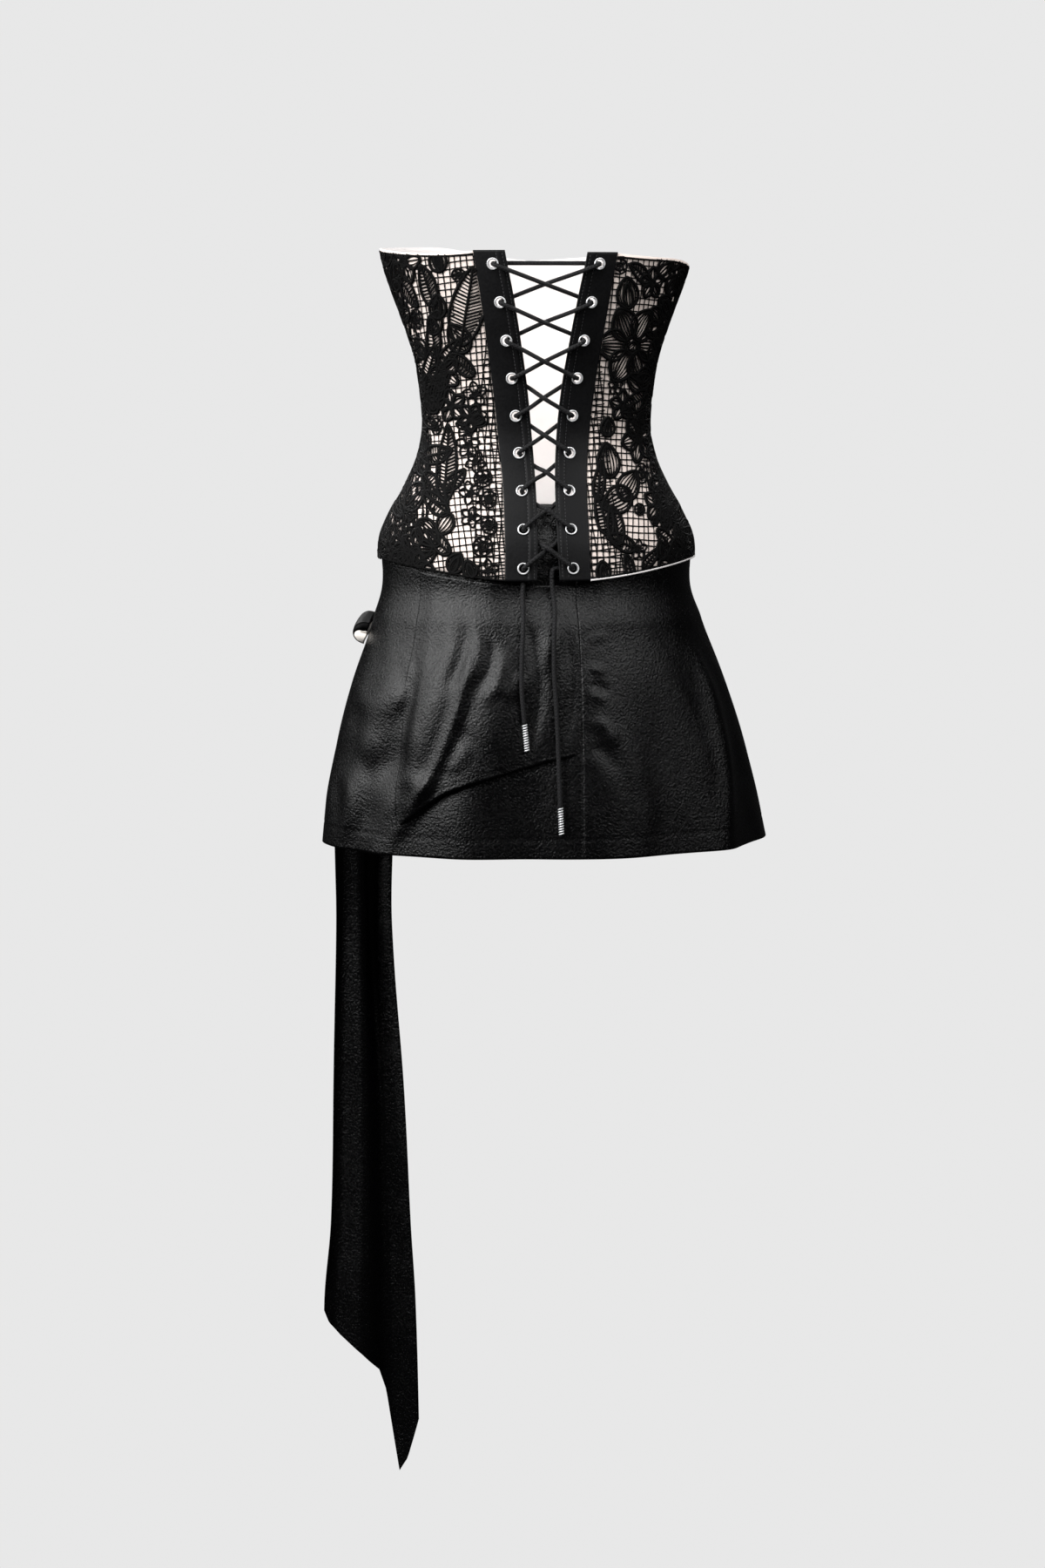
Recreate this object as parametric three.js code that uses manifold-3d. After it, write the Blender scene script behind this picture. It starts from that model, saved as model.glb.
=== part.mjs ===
// Strapless mini dress, worn shape with no wearer: a corset bodice of cream lining under black lace,
// laced up the back through metal eyelets, over a short black satin skirt with a wrapped overlay,
// and a long satin sash that falls from the left hip.
// Millimetres, +Z up. The origin is the middle of the waist. The laced back faces -Y, and +X is the
// right-hand side of someone who looks at that back. A turn is an angle round the body from the centre
// back, positive towards +X, so the sides are at a quarter turn and the centre front at a half turn.

import * as THREE from "three";
import { mergeVertices } from "three/addons/utils/BufferGeometryUtils.js";
import Module from "manifold-3d";

const wasm = await Module();
wasm.setup();

const QUARTER = Math.PI / 2;
const DEGREE = Math.PI / 180;

// Cloth thicknesses, and the gap left where two pieces meet.
const LINING = 1.2;
const LACE = 1.2;
const PANEL = 2.4;
const SATIN = 1.2;
const SEAM = 0.3;

// The bodice's inner face: half width at the sides, and depth behind and in front of the waist's middle.
const BODICE = [
  { z: 205, half: 167, back: 104, front: 104 },
  { z: 166, half: 158, back: 102, front: 106 },
  { z: 120, half: 141.5, back: 96, front: 104 },
  { z: 80, half: 128, back: 88, front: 98 },
  { z: 48, half: 122, back: 82, front: 93 },
  { z: 2, half: 118.5, back: 78, front: 90 },
  { z: -31, half: 125, back: 83, front: 91 },
  { z: -60, half: 138, back: 93, front: 94 },
  { z: -90, half: 155, back: 106, front: 98 },
  { z: -118, half: 165.5, back: 117, front: 102 },
  { z: -160, half: 165, back: 125, front: 106 },
];

// The skirt's outer face, with the sideways shift of its middle.
const SKIRT = [
  { z: -85, half: 150, back: 108, front: 96, shift: 0 },
  { z: -150, half: 164, back: 123, front: 104, shift: 0 },
  { z: -196, half: 176, back: 133, front: 113, shift: 1 },
  { z: -225, half: 185, back: 138, front: 120, shift: 2 },
  { z: -275, half: 202, back: 146, front: 131, shift: 3 },
  { z: -331, half: 218, back: 154, front: 143, shift: 5 },
  { z: -381, half: 229, back: 160, front: 152, shift: 7 },
  { z: -435, half: 238, back: 165, front: 160, shift: 10 },
];

// How far the lacing panels' inner and outer edges lie from the centre back.
const LACING_EDGES = [
  { z: 205, inner: 46, outer: 77.5 },
  { z: 182, inner: 42, outer: 73.5 },
  { z: 138, inner: 33, outer: 66 },
  { z: 93, inner: 25, outer: 59 },
  { z: 44, inner: 17.5, outer: 52 },
  { z: -8, inner: 12.5, outer: 46.5 },
  { z: -57, inner: 10, outer: 43.2 },
  { z: -115, inner: 10.2, outer: 43.2 },
  { z: -160, inner: 12, outer: 44 },
];

// The neckline's height, round the body: high at the left arm, low at the right, two soft peaks in front.
const NECKLINE = [
  { turn: -180, z: 176 },
  { turn: -145, z: 190.5 },
  { turn: -90, z: 188 },
  { turn: -60, z: 183 },
  { turn: -40, z: 181.5 },
  { turn: -22, z: 184.5 },
  { turn: 0, z: 186.5 },
  { turn: 22, z: 182 },
  { turn: 40, z: 178.5 },
  { turn: 60, z: 177 },
  { turn: 90, z: 169 },
  { turn: 145, z: 182 },
  { turn: 180, z: 176 },
];

const NECKLINE_ROUND = 6; // how far, in degrees, its corners are rounded

// The bodice's hem dips to a point at the centre back, and less in front.
const HEM_SIDE = -135;
const HEM_BACK_DIP = 19;
const HEM_FRONT_DIP = 12;
const HEM_POINTED = 2.5; // higher keeps the dip nearer to the middle

// Bust cups.
const CUP = { turn: 146, z: 122, out: 20, wide: 24, high: 46 };

// Eyelets.
const EYELET_ROWS = 9;
const EYELET_TOP = 171.3;
const EYELET_STEP = 38.8;
const EYELET_INSET = 14.4;
const EYELET_HOLE = 4.5;
const EYELET_SIDES = 12;

// Lacing cord.
const CORD = 2.3; // radius
const CORD_SIDES = 8;
const CORD_OVER = 5.7; // its centre above a panel's middle where it leaves an eyelet
const CORD_UNDER = -4.6;
const CORD_EDGE = 4.4; // where it passes a panel's edge
const CORD_CROSS = 4.3; // where two stretches cross between the panels
const CORD_CROSS_OVER = 2.6; // the same where both lie over the panels
const CORD_BEND = 4.7; // straight lead on each side of a bend at an eyelet
const CORD_PAST_EDGE = 1; // how far outside a panel's edge it changes level

// Skirt.
const SKIRT_TOP = -85;
const SKIRT_HEM = -435;
const SKIRT_TUCK = 2; // how far the skirt lies inside the bodice
const SKIRT_FREE = { z: -148, over: 50 }; // where it leaves the bodice's shape for its own, and how gently
const LACING_RECESS = { deep: 6.5, wide: 50, z: -156, over: 70 }; // hollow in the skirt behind the lacing
const CENTRE_SEAM = 32; // the back seam's distance from the centre back

// Soft folds of the skirt: where each ridge or hollow starts and ends, in degrees and height. A fold is
// full before it is this share of the way down.
const FOLD_FULL = 0.6;
const FOLDS = [
  { top: -24, topZ: -170, low: -50, lowZ: -420, wide: 8, out: 6 },
  { top: -48, topZ: -185, low: -66, lowZ: -435, wide: 9, out: 5 },
  { top: -37, topZ: -180, low: -58, lowZ: -435, wide: 7, out: -4 },
  { top: -8, topZ: -190, low: -26, lowZ: -400, wide: 8, out: 4 },
  { top: -4, topZ: -165, low: -8, lowZ: -435, wide: 9, out: -6 },
  { top: 14, topZ: -200, low: 16, lowZ: -435, wide: 9, out: 3 },
  { top: 34, topZ: -220, low: 30, lowZ: -435, wide: 9, out: -4 },
  { top: 60, topZ: -215, low: 48, lowZ: -435, wide: 7, out: 7 },
  { top: 72, topZ: -230, low: 66, lowZ: -435, wide: 9, out: -5 },
  { top: -84, topZ: -330, low: -80, lowZ: -435, wide: 9, out: 4 },
  { top: 104, topZ: -230, low: 108, lowZ: -435, wide: 9, out: 5 },
  { top: 128, topZ: -210, low: 130, lowZ: -435, wide: 9, out: -5 },
  { top: 150, topZ: -230, low: 154, lowZ: -435, wide: 9, out: 5 },
  { top: 176, topZ: -210, low: 178, lowZ: -435, wide: 10, out: -5 },
  { top: -160, topZ: -230, low: -158, lowZ: -435, wide: 9, out: 5 },
  { top: -138, topZ: -230, low: -140, lowZ: -435, wide: 8, out: -4 },
];

// Overlay on the left of the skirt's back: it hangs off the skirt, and its pointed corner is at the left.
const OVERLAY_GAP = 1.5;
const OVERLAY_BILLOW = { out: 5, turn: -32, wide: 26, z: -160, over: 120 };
const OVERLAY_TOP_DROP = 3; // below the bodice's hem
const OVERLAY_LEFT = { top: -52, low: -44 }; // turn of its left edge
const OVERLAY_ROUND = 8; // rounding of its lower edge's corners
const OVERLAY_LOW = [
  { x: -168, z: -407 },
  { x: -118, z: -372 },
  { x: -82, z: -357 },
  { x: -46, z: -346 },
  { x: 0, z: -334 },
  { x: 31, z: -328 },
];

// Sash: its middle, width and slant below the skirt's hem, and where the cut end lies across it.
const SASH_TOP = -212;
const SASH_TURN = -128;
const SASH_TOP_WIDE = 30;
const SASH = [
  { z: -435, x: -183, y: 104, wide: 58, slant: 38 },
  { z: -586, x: -180.5, y: 106, wide: 65.5, slant: 26 },
  { z: -724, x: -177, y: 104, wide: 76.6, slant: 14 },
  { z: -884, x: -175.5, y: 102, wide: 88, slant: 8 },
  { z: -975, x: -177, y: 100, wide: 101, slant: 6 },
  { z: -1180, x: -176, y: 98, wide: 108, slant: 4 },
];
const SASH_END = [
  { across: 0, z: -985 },
  { across: 0.06, z: -1000 },
  { across: 0.18, z: -1014 },
  { across: 0.4, z: -1034 },
  { across: 0.6, z: -1056 },
  { across: 0.68, z: -1082 },
  { across: 0.75, z: -1136 },
  { across: 0.8, z: -1176 },
  { across: 0.88, z: -1160 },
  { across: 1, z: -1112 },
];
const SASH_PLEATS = { waves: 1.6, start: 0.6, out: 9, gathered: 0.35, over: 160 };
const SASH_WRAP = 165; // radius of the skirt's front where the sash lies on it
const SASH_DROP = 130; // height over which it swings from the skirt's hem to its free shape
const SASH_OFF = 0.6; // least distance from the skirt

// Loop of the sash's bow at the left hip.
const BOW = { turn: -92, z: -211, high: 11, rise: 10, out: 15, wide: 22, cloth: 1.6, blunt: 0.8, radius: 115 };

// Free ends of the lacing, by distance from the centre back and height.
const END_LEFT = [
  [-26.6, -156],
  [-27.6, -166],
  [-27.2, -180],
  [-27.2, -200],
  [-29.2, -232],
  [-30.6, -262],
  [-29.6, -285],
  [-28.8, -296],
];
const END_RIGHT = [
  [4.2, -156],
  [5.6, -170],
  [6.2, -184],
  [4.2, -212],
  [4.2, -245],
  [6.4, -280],
  [8, -320],
  [9, -360],
  [9.6, -381],
];
const END_CLEAR = 0.8; // between a hanging end and the overlay
const TIP = { radius: 2.9, rib: 0.5, ribs: 6, long: 29 };

// Value of a table's column at a height, on a smooth curve through its rows, which run downwards.
function along(table, column, z) {
  const last = table.length - 1;
  let row = 0;
  while (row < last - 1 && z < table[row + 1].z) row++;
  const [high, low] = [table[row], table[row + 1]];
  const slope = (index) => {
    const before = table[Math.max(index - 1, 0)];
    const after = table[Math.min(index + 1, last)];
    return (after[column] - before[column]) / (after.z - before.z);
  };
  const span = low.z - high.z;
  const t = THREE.MathUtils.clamp((z - high.z) / span, 0, 1);
  return (
    high[column] * (2 * t ** 3 - 3 * t ** 2 + 1) +
    slope(row) * span * (t ** 3 - 2 * t ** 2 + t) +
    low[column] * (3 * t ** 2 - 2 * t ** 3) +
    slope(row + 1) * span * (t ** 3 - t ** 2)
  );
}

// Value on the straight lines through a table whose rows go up in the key column.
function between(table, key, column, at) {
  let row = 0;
  while (row < table.length - 2 && at > table[row + 1][key]) row++;
  const [from, to] = [table[row], table[row + 1]];
  const t = THREE.MathUtils.clamp((at - from[key]) / (to[key] - from[key]), 0, 1);
  return from[column] + (to[column] - from[column]) * t;
}

// The same with rounded corners: the mean of the straight lines over a short reach.
function softBetween(table, key, column, at, reach) {
  const samples = [-1, -0.5, 0, 0.5, 1];
  const sum = samples.reduce((total, s) => total + between(table, key, column, at + s * reach), 0);
  return sum / samples.length;
}

const bell = (distance, wide) => Math.exp(-((distance / wide) ** 2));
const smooth = (t) => THREE.MathUtils.smoothstep(t, 0, 1);

// A point of a table's oval section: a half ellipse behind and another in front.
function oval(table, shift, turn, z) {
  const depth = along(table, Math.cos(turn) > 0 ? "back" : "front", z);
  return new THREE.Vector3(along(table, "half", z) * Math.sin(turn) + shift, -depth * Math.cos(turn), z);
}

// The bodice's inner face, with the cups.
function torso(turn, z) {
  const point = oval(BODICE, 0, turn, z);
  const degrees = Math.abs(turn / DEGREE);
  const cup = CUP.out * bell(degrees - CUP.turn, CUP.wide) * bell(z - CUP.z, CUP.high);
  const outward = new THREE.Vector3(point.x, point.y, 0).normalize();
  return point.addScaledVector(outward, cup);
}

// How far the skirt's folds push its outer face out.
function foldsAt(turn, z) {
  const degrees = turn / DEGREE;
  return FOLDS.reduce((total, fold) => {
    const down = (fold.topZ - z) / (fold.topZ - fold.lowZ);
    const middle = fold.top + (fold.low - fold.top) * THREE.MathUtils.clamp(down, 0, 1);
    const apart = ((((degrees - middle) % 360) + 540) % 360) - 180;
    return total + fold.out * bell(apart, fold.wide) * smooth(down / FOLD_FULL);
  }, 0);
}

// The skirt's outer face: tucked inside the bodice at the top, then its own oval with folds.
function skirtFace(turn, z) {
  const free = smooth((SKIRT_FREE.z - z) / SKIRT_FREE.over);
  const tucked = onFace(torso, turn, Math.max(z, SKIRT_FREE.z), -SKIRT_TUCK);
  tucked.z = z;
  const own = oval(SKIRT, along(SKIRT, "shift", z), turn, z);
  const point = tucked.lerp(own, free);
  const outward = new THREE.Vector3(point.x, point.y, 0).normalize();
  const behindLacing = Math.cos(turn) > 0 ? Math.exp(-((point.x / LACING_RECESS.wide) ** 6)) : 0;
  const fade = 1 - smooth((LACING_RECESS.z - z) / LACING_RECESS.over);
  const recess = LACING_RECESS.deep * behindLacing * fade;
  return point.addScaledVector(outward, foldsAt(turn, z) - recess);
}

// A point at a distance outside a face, along the face's normal.
function onFace(face, turn, z, out) {
  const step = 1e-3;
  const round = face(turn + step, z).sub(face(turn - step, z));
  const upward = face(turn, z + 1).sub(face(turn, z - 1));
  const normal = round.cross(upward).normalize();
  return face(turn, z).addScaledVector(normal, out);
}

function faceNormal(face, turn, z) {
  return onFace(face, turn, z, 1).sub(face(turn, z));
}

// How far the overlay's inner face lies off the skirt.
function overlayOff(turn, z) {
  const billow = OVERLAY_BILLOW;
  const share = bell(turn / DEGREE - billow.turn, billow.wide) * smooth((billow.z - z) / billow.over);
  return OVERLAY_GAP + billow.out * share;
}

const neckline = (turn) => softBetween(NECKLINE, "turn", "z", turn / DEGREE, NECKLINE_ROUND);
const hemDip = (turn) => (Math.cos(turn) > 0 ? HEM_BACK_DIP : HEM_FRONT_DIP);
const bodiceHem = (turn) => HEM_SIDE - hemDip(turn) * Math.abs(Math.cos(turn)) ** HEM_POINTED;
const bodiceHeight = (turn, down) => neckline(turn) + (bodiceHem(turn) - neckline(turn)) * down;
const turnAt = (x, z) => Math.asin(x / along(BODICE, "half", z));

// One closed geometry, its shared vertices merged and its faces turned outwards.
function closed(geometry) {
  const bare = new THREE.BufferGeometry();
  bare.setAttribute("position", geometry.getAttribute("position"));
  if (geometry.index) bare.setIndex(geometry.index);
  const merged = mergeVertices(bare, 1e-3);
  const at = merged.getAttribute("position");
  const index = merged.index.array;
  const [a, b, c] = [new THREE.Vector3(), new THREE.Vector3(), new THREE.Vector3()];
  let volume = 0;
  for (let i = 0; i < index.length; i += 3) {
    a.fromBufferAttribute(at, index[i]);
    b.fromBufferAttribute(at, index[i + 1]);
    c.fromBufferAttribute(at, index[i + 2]);
    volume += a.dot(b.cross(c));
  }
  if (volume < 0) {
    for (let i = 0; i < index.length; i += 3) {
      [index[i + 1], index[i + 2]] = [index[i + 2], index[i + 1]];
    }
  }
  merged.computeVertexNormals();
  return merged;
}

// A cloth wall: a grid of points on its outer face and the same grid on its inner face, closed at the edges.
// pointAt(across, down, side) takes shares from 0 to 1, and side 1 for the outer face or 0 for the inner.
function clothWall(columns, rows, pointAt) {
  const positions = [];
  const faces = [];
  for (const side of [1, 0]) {
    for (let row = 0; row <= rows; row++) {
      for (let column = 0; column <= columns; column++) {
        positions.push(...pointAt(column / columns, row / rows, side).toArray());
      }
    }
  }
  const layer = (columns + 1) * (rows + 1);
  const at = (side, column, row) => (side ? 0 : layer) + row * (columns + 1) + column;
  const quad = (a, b, c, d) => faces.push(a, b, c, a, c, d);
  for (let row = 0; row < rows; row++) {
    for (let column = 0; column < columns; column++) {
      quad(at(1, column, row), at(1, column, row + 1), at(1, column + 1, row + 1), at(1, column + 1, row));
      quad(at(0, column, row), at(0, column + 1, row), at(0, column + 1, row + 1), at(0, column, row + 1));
    }
    quad(at(1, 0, row), at(0, 0, row), at(0, 0, row + 1), at(1, 0, row + 1));
    quad(at(1, columns, row), at(1, columns, row + 1), at(0, columns, row + 1), at(0, columns, row));
  }
  for (let column = 0; column < columns; column++) {
    quad(at(1, column, 0), at(1, column + 1, 0), at(0, column + 1, 0), at(0, column, 0));
    quad(at(1, column, rows), at(0, column, rows), at(0, column + 1, rows), at(1, column + 1, rows));
  }
  const geometry = new THREE.BufferGeometry();
  geometry.setAttribute("position", new THREE.Float32BufferAttribute(positions, 3));
  geometry.setIndex(faces);
  return closed(geometry);
}

// A tube of round section through a list of points, one step for each.
class Route extends THREE.CatmullRomCurve3 {
  getPointAt(share) {
    return this.getPoint(share);
  }
  getTangentAt(share) {
    return this.getTangent(share);
  }
}

function cordGeometry(points, radius, sides) {
  const circle = new THREE.EllipseCurve(0, 0, radius, radius).getPoints(sides);
  const section = new THREE.Shape(circle.slice(0, sides));
  const path = new Route(points, false, "centripetal");
  return closed(
    new THREE.ExtrudeGeometry(section, { extrudePath: path, steps: points.length - 1, curveSegments: sides }),
  );
}

function solidOf(geometry) {
  return new wasm.Manifold(
    new wasm.Mesh({
      numProp: 3,
      vertProperties: geometry.getAttribute("position").array,
      triVerts: new Uint32Array(geometry.index.array),
    }),
  );
}

function geometryOf(solid) {
  const mesh = solid.getMesh();
  const geometry = new THREE.BufferGeometry();
  geometry.setAttribute("position", new THREE.Float32BufferAttribute(mesh.vertProperties, 3));
  geometry.setIndex(Array.from(mesh.triVerts));
  geometry.computeVertexNormals();
  return geometry;
}

// Finishes.
const cloth = (color, roughness) =>
  new THREE.MeshStandardMaterial({ color, roughness, metalness: 0, side: THREE.DoubleSide });
const FINISH = {
  lining: cloth(0xf3e4db, 0.8),
  lace: cloth(0x0b0b0c, 0.75),
  satin: cloth(0x121214, 0.38),
  panel: cloth(0x17171a, 0.5),
  cord: cloth(0x0d0d0e, 0.7),
  metal: new THREE.MeshStandardMaterial({ color: 0xd9d9dc, roughness: 0.25, metalness: 1 }),
};

const dress = new THREE.Group();

function addPiece(name, geometry, material) {
  const mesh = new THREE.Mesh(geometry, material);
  mesh.name = name;
  dress.add(mesh);
  return mesh;
}

// Bodice: three lining pieces, and the lace that lies on each.
const BODICE_ROWS = 12;
const BODICE_DEPTH = 80; // least depth of the section at the side seams
const BACK_COLUMNS = 8;
const FRONT_COLUMNS = 20;
const LACE_SHORT = 2; // the lace stops this far inside the lining's top and bottom edges

function bodiceWall(columns, turnRange, inner, outer, short) {
  return clothWall(columns, BODICE_ROWS, (across, down, side) => {
    const middle = turnRange(across, 0);
    const z = bodiceHeight(middle, down) - short * (down === 0 ? 1 : down === 1 ? -1 : 0);
    return onFace(torso, turnRange(across, z), z, side ? outer : inner);
  });
}

// Half a seam's gap as an angle, where the section is this far from its middle.
const halfSeam = (radius) => SEAM / 2 / radius;
const sideSeam = halfSeam(BODICE_DEPTH);
const backRange = (hand) => (across, z) => {
  const from = turnAt(along(LACING_EDGES, "outer", z) + SEAM, z);
  return hand * (from + (QUARTER - sideSeam - from) * across);
};
const frontRange = (across) => QUARTER + sideSeam + (Math.PI - 2 * sideSeam) * across;
const wrap = (turn) => (turn > Math.PI ? turn - 2 * Math.PI : turn);

for (const [hand, side] of [
  [-1, "left"],
  [1, "right"],
]) {
  const lining = bodiceWall(BACK_COLUMNS, backRange(hand), 0, LINING, 0);
  addPiece(`lining_back_${side}`, lining, FINISH.lining);
  const lace = bodiceWall(BACK_COLUMNS, backRange(hand), LINING + SEAM, LINING + SEAM + LACE, LACE_SHORT);
  addPiece(`lace_back_${side}`, lace, FINISH.lace);
}
const wholeFront = (across) => wrap(frontRange(across));
addPiece("lining_front", bodiceWall(FRONT_COLUMNS, wholeFront, 0, LINING, 0), FINISH.lining);
const laceFront = bodiceWall(FRONT_COLUMNS, wholeFront, LINING + SEAM, LINING + SEAM + LACE, LACE_SHORT);
addPiece("lace_front", laceFront, FINISH.lace);

// Lacing panels with their eyelets. A place on them is a distance from the centre back, a height, and a
// distance out from the panel's middle layer.
function onPanel(x, z, out) {
  return onFace(torso, turnAt(x, z), z, PANEL / 2 + out);
}

const PANEL_TURN = 0.3; // rough turn of a panel's middle
const UP = new THREE.Vector3(0, 1, 0);
const eyeletHeight = (row) => EYELET_TOP - row * EYELET_STEP;
const eyeletOff = (row) => along(LACING_EDGES, "inner", eyeletHeight(row)) + EYELET_INSET;

// The eyelet's section, as radius and height: a barrel through the cloth and a rounded flange outside it.
const EYELET_SECTION = [
  [3.5, -1.7],
  [4.2, -1.7],
  [4.2, 1.9],
  [6.2, 2.1],
  [3.7, 2.9],
  [3.5, -1.7],
].map(([radius, height]) => new THREE.Vector2(radius, height));

for (const [hand, side] of [
  [-1, "left"],
  [1, "right"],
]) {
  const wall = clothWall(3, BODICE_ROWS, (across, down, outside) => {
    const z = bodiceHeight(hand * PANEL_TURN, down);
    const [inner, outer] = [along(LACING_EDGES, "inner", z), along(LACING_EDGES, "outer", z)];
    return onPanel(hand * (inner + (outer - inner) * across), z, outside ? PANEL / 2 : -PANEL / 2);
  });
  let panel = solidOf(wall);
  for (let row = 0; row < EYELET_ROWS; row++) {
    const [x, z] = [hand * eyeletOff(row), eyeletHeight(row)];
    const facing = new THREE.Quaternion().setFromUnitVectors(UP, faceNormal(torso, turnAt(x, z), z));
    const hole = new THREE.CylinderGeometry(EYELET_HOLE, EYELET_HOLE, 4 * PANEL, EYELET_SIDES);
    const placed = new THREE.Matrix4().compose(onPanel(x, z, 0), facing, new THREE.Vector3(1, 1, 1));
    panel = panel.subtract(solidOf(closed(hole.applyMatrix4(placed))));
    const ring = closed(new THREE.LatheGeometry(EYELET_SECTION, EYELET_SIDES));
    const eyelet = addPiece(`eyelet_${side}_${row + 1}`, ring, FINISH.metal);
    eyelet.position.copy(onPanel(x, z, 0));
    eyelet.quaternion.copy(facing);
  }
  addPiece(`lacing_panel_${side}`, geometryOf(panel), FINISH.panel);
}

// Lacing. Each half of the cord goes through one eyelet of every row. A stop is [distance from the centre
// back, height, distance out], and a bend at an eyelet is rounded by a short curve.
const OVER = 1;
const UNDER = -1;
const level = (way) => (way === OVER ? CORD_OVER : CORD_UNDER);

// Which way the cord leaves the upper row and reaches the lower row, for each gap between rows.
const CROSSINGS = [
  [OVER, UNDER],
  [OVER, UNDER],
  [OVER, OVER],
  [UNDER, OVER],
  [UNDER, OVER],
  [UNDER, OVER],
  [UNDER, OVER],
  [UNDER, OVER],
];

// The stops of one half: startHand is the side of its first eyelet, and front says where it lies in front.
function halfRoute(startHand, opening) {
  const stops = [...opening];
  let hand = startHand;
  CROSSINGS.forEach(([leaving, reaching], row) => {
    const [x0, z0] = [hand * eyeletOff(row), eyeletHeight(row)];
    const [x1, z1] = [-hand * eyeletOff(row + 1), eyeletHeight(row + 1)];
    const zAt = (x) => z0 + ((z1 - z0) * (x - x0)) / (x1 - x0);
    const half = along(LACING_EDGES, "inner", (z0 + z1) / 2) - CORD_PAST_EDGE;
    const inFront = (startHand < 0) === (row % 2 === 0);
    const bothOver = leaving === OVER && reaching === OVER;
    const middle = bothOver ? CORD_EDGE : 0;
    const apart = bothOver ? CORD_CROSS_OVER : CORD_CROSS;
    stops.push({ at: [x0, z0, level(leaving)], bend: true });
    stops.push({ at: [hand * half, zAt(hand * half), leaving * CORD_EDGE] });
    stops.push({ at: [0, zAt(0), middle + (inFront ? apart : -apart)] });
    stops.push({ at: [-hand * half, zAt(-hand * half), reaching * CORD_EDGE] });
    stops.push({ at: [x1, z1, level(reaching)], bend: true });
    hand = -hand;
  });
  return stops;
}

// Points of a route: each bend is replaced by points of a curve that touches the lines on both sides.
function rounded(stops) {
  const places = stops.map((stop) => onPanel(...stop.at));
  return places.flatMap((place, index) => {
    if (!stops[index].bend || index === 0 || index === places.length - 1) return [place];
    const lead = (other) => {
      const way = other.clone().sub(place);
      return place.clone().addScaledVector(way.normalize(), CORD_BEND);
    };
    const curve = new THREE.QuadraticBezierCurve3(lead(places[index - 1]), place, lead(places[index + 1]));
    return curve.getPoints(2);
  });
}

const firstOff = eyeletOff(0);
const lastOff = eyeletOff(EYELET_ROWS - 1);
const topZ = EYELET_TOP;
const lastZ = eyeletHeight(EYELET_ROWS - 1);
const leftStart = [
  { at: [firstOff - CORD - 2 * SEAM, topZ, CORD_UNDER] },
  { at: [-firstOff, topZ, CORD_UNDER], bend: true },
];
const rightStart = [{ at: [firstOff, topZ, CORD_UNDER - CORD] }];

// Behind the last eyelets, the left end turns down and the right end crosses to the middle and turns down.
const INSIDE_LEFT = [
  { at: [-lastOff, lastZ, CORD_UNDER], bend: true },
  { at: [-lastOff - 1, lastZ - 10, CORD_UNDER] },
];
const INSIDE_RIGHT = [
  { at: [lastOff, lastZ, CORD_UNDER], bend: true },
  { at: [4.4, lastZ + 1, CORD_UNDER], bend: true },
  { at: [4, lastZ - 10, CORD_UNDER] },
];
const lacingRoutes = {
  lacing_from_left: rounded([...halfRoute(-1, leftStart), ...INSIDE_LEFT]),
  lacing_from_right: rounded([...halfRoute(1, rightStart), ...INSIDE_RIGHT]),
};
for (const [name, points] of Object.entries(lacingRoutes)) {
  addPiece(name, cordGeometry(points, CORD, CORD_SIDES), FINISH.cord);
}

// Free ends of the lacing, which come out under the hem and hang over the skirt, with their metal tips.
function overSkirt(x, z) {
  const turn = Math.asin((x - along(SKIRT, "shift", z)) / along(SKIRT, "half", z));
  return onFace(skirtFace, turn, z, overlayOff(turn, z) + SATIN + TIP.radius + END_CLEAR);
}

function tipGeometry() {
  const profile = [[0, 0]];
  const step = TIP.long / TIP.ribs;
  for (let rib = 0; rib < TIP.ribs; rib++) {
    profile.push([TIP.radius - TIP.rib, rib * step], [TIP.radius, (rib + 0.5) * step]);
  }
  profile.push([TIP.radius - TIP.rib, TIP.long], [0, TIP.long]);
  return closed(new THREE.LatheGeometry(profile.map(([r, h]) => new THREE.Vector2(r, h)), 8));
}

for (const [side, stops] of [
  ["left", END_LEFT],
  ["right", END_RIGHT],
]) {
  const inside = side === "left" ? INSIDE_LEFT : INSIDE_RIGHT;
  const [x0, z0, out0] = inside[inside.length - 1].at;
  const start = onPanel(x0, z0 - 2 * SEAM, out0);
  const hanging = stops.map(([x, z]) => overSkirt(x, z));
  const guide = new THREE.CatmullRomCurve3([start, ...hanging], false, "centripetal");
  const points = guide.getSpacedPoints(Math.round(guide.getLength() / 10));
  addPiece(`lace_end_${side}`, cordGeometry(points, CORD, CORD_SIDES), FINISH.cord);
  const end = points[points.length - 1];
  const way = guide.getTangent(1);
  const tip = addPiece(`lace_tip_${side}`, tipGeometry(), FINISH.metal);
  tip.position.copy(end).addScaledVector(way, SEAM);
  tip.quaternion.setFromUnitVectors(UP, way);
}

// Skirt: a front and two back panels, which meet at the side seams and at a seam right of the centre back.
const SKIRT_ROWS = 13;
const SKIRT_DEPTH = 96; // least depth and half width of its section
const SKIRT_HALF = 150;
function skirtWall(columns, turnRange) {
  return clothWall(columns, SKIRT_ROWS, (across, down, side) => {
    const z = SKIRT_TOP + (SKIRT_HEM - SKIRT_TOP) * down;
    return onFace(skirtFace, turnRange(across, z), z, side ? 0 : -SATIN);
  });
}

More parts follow.
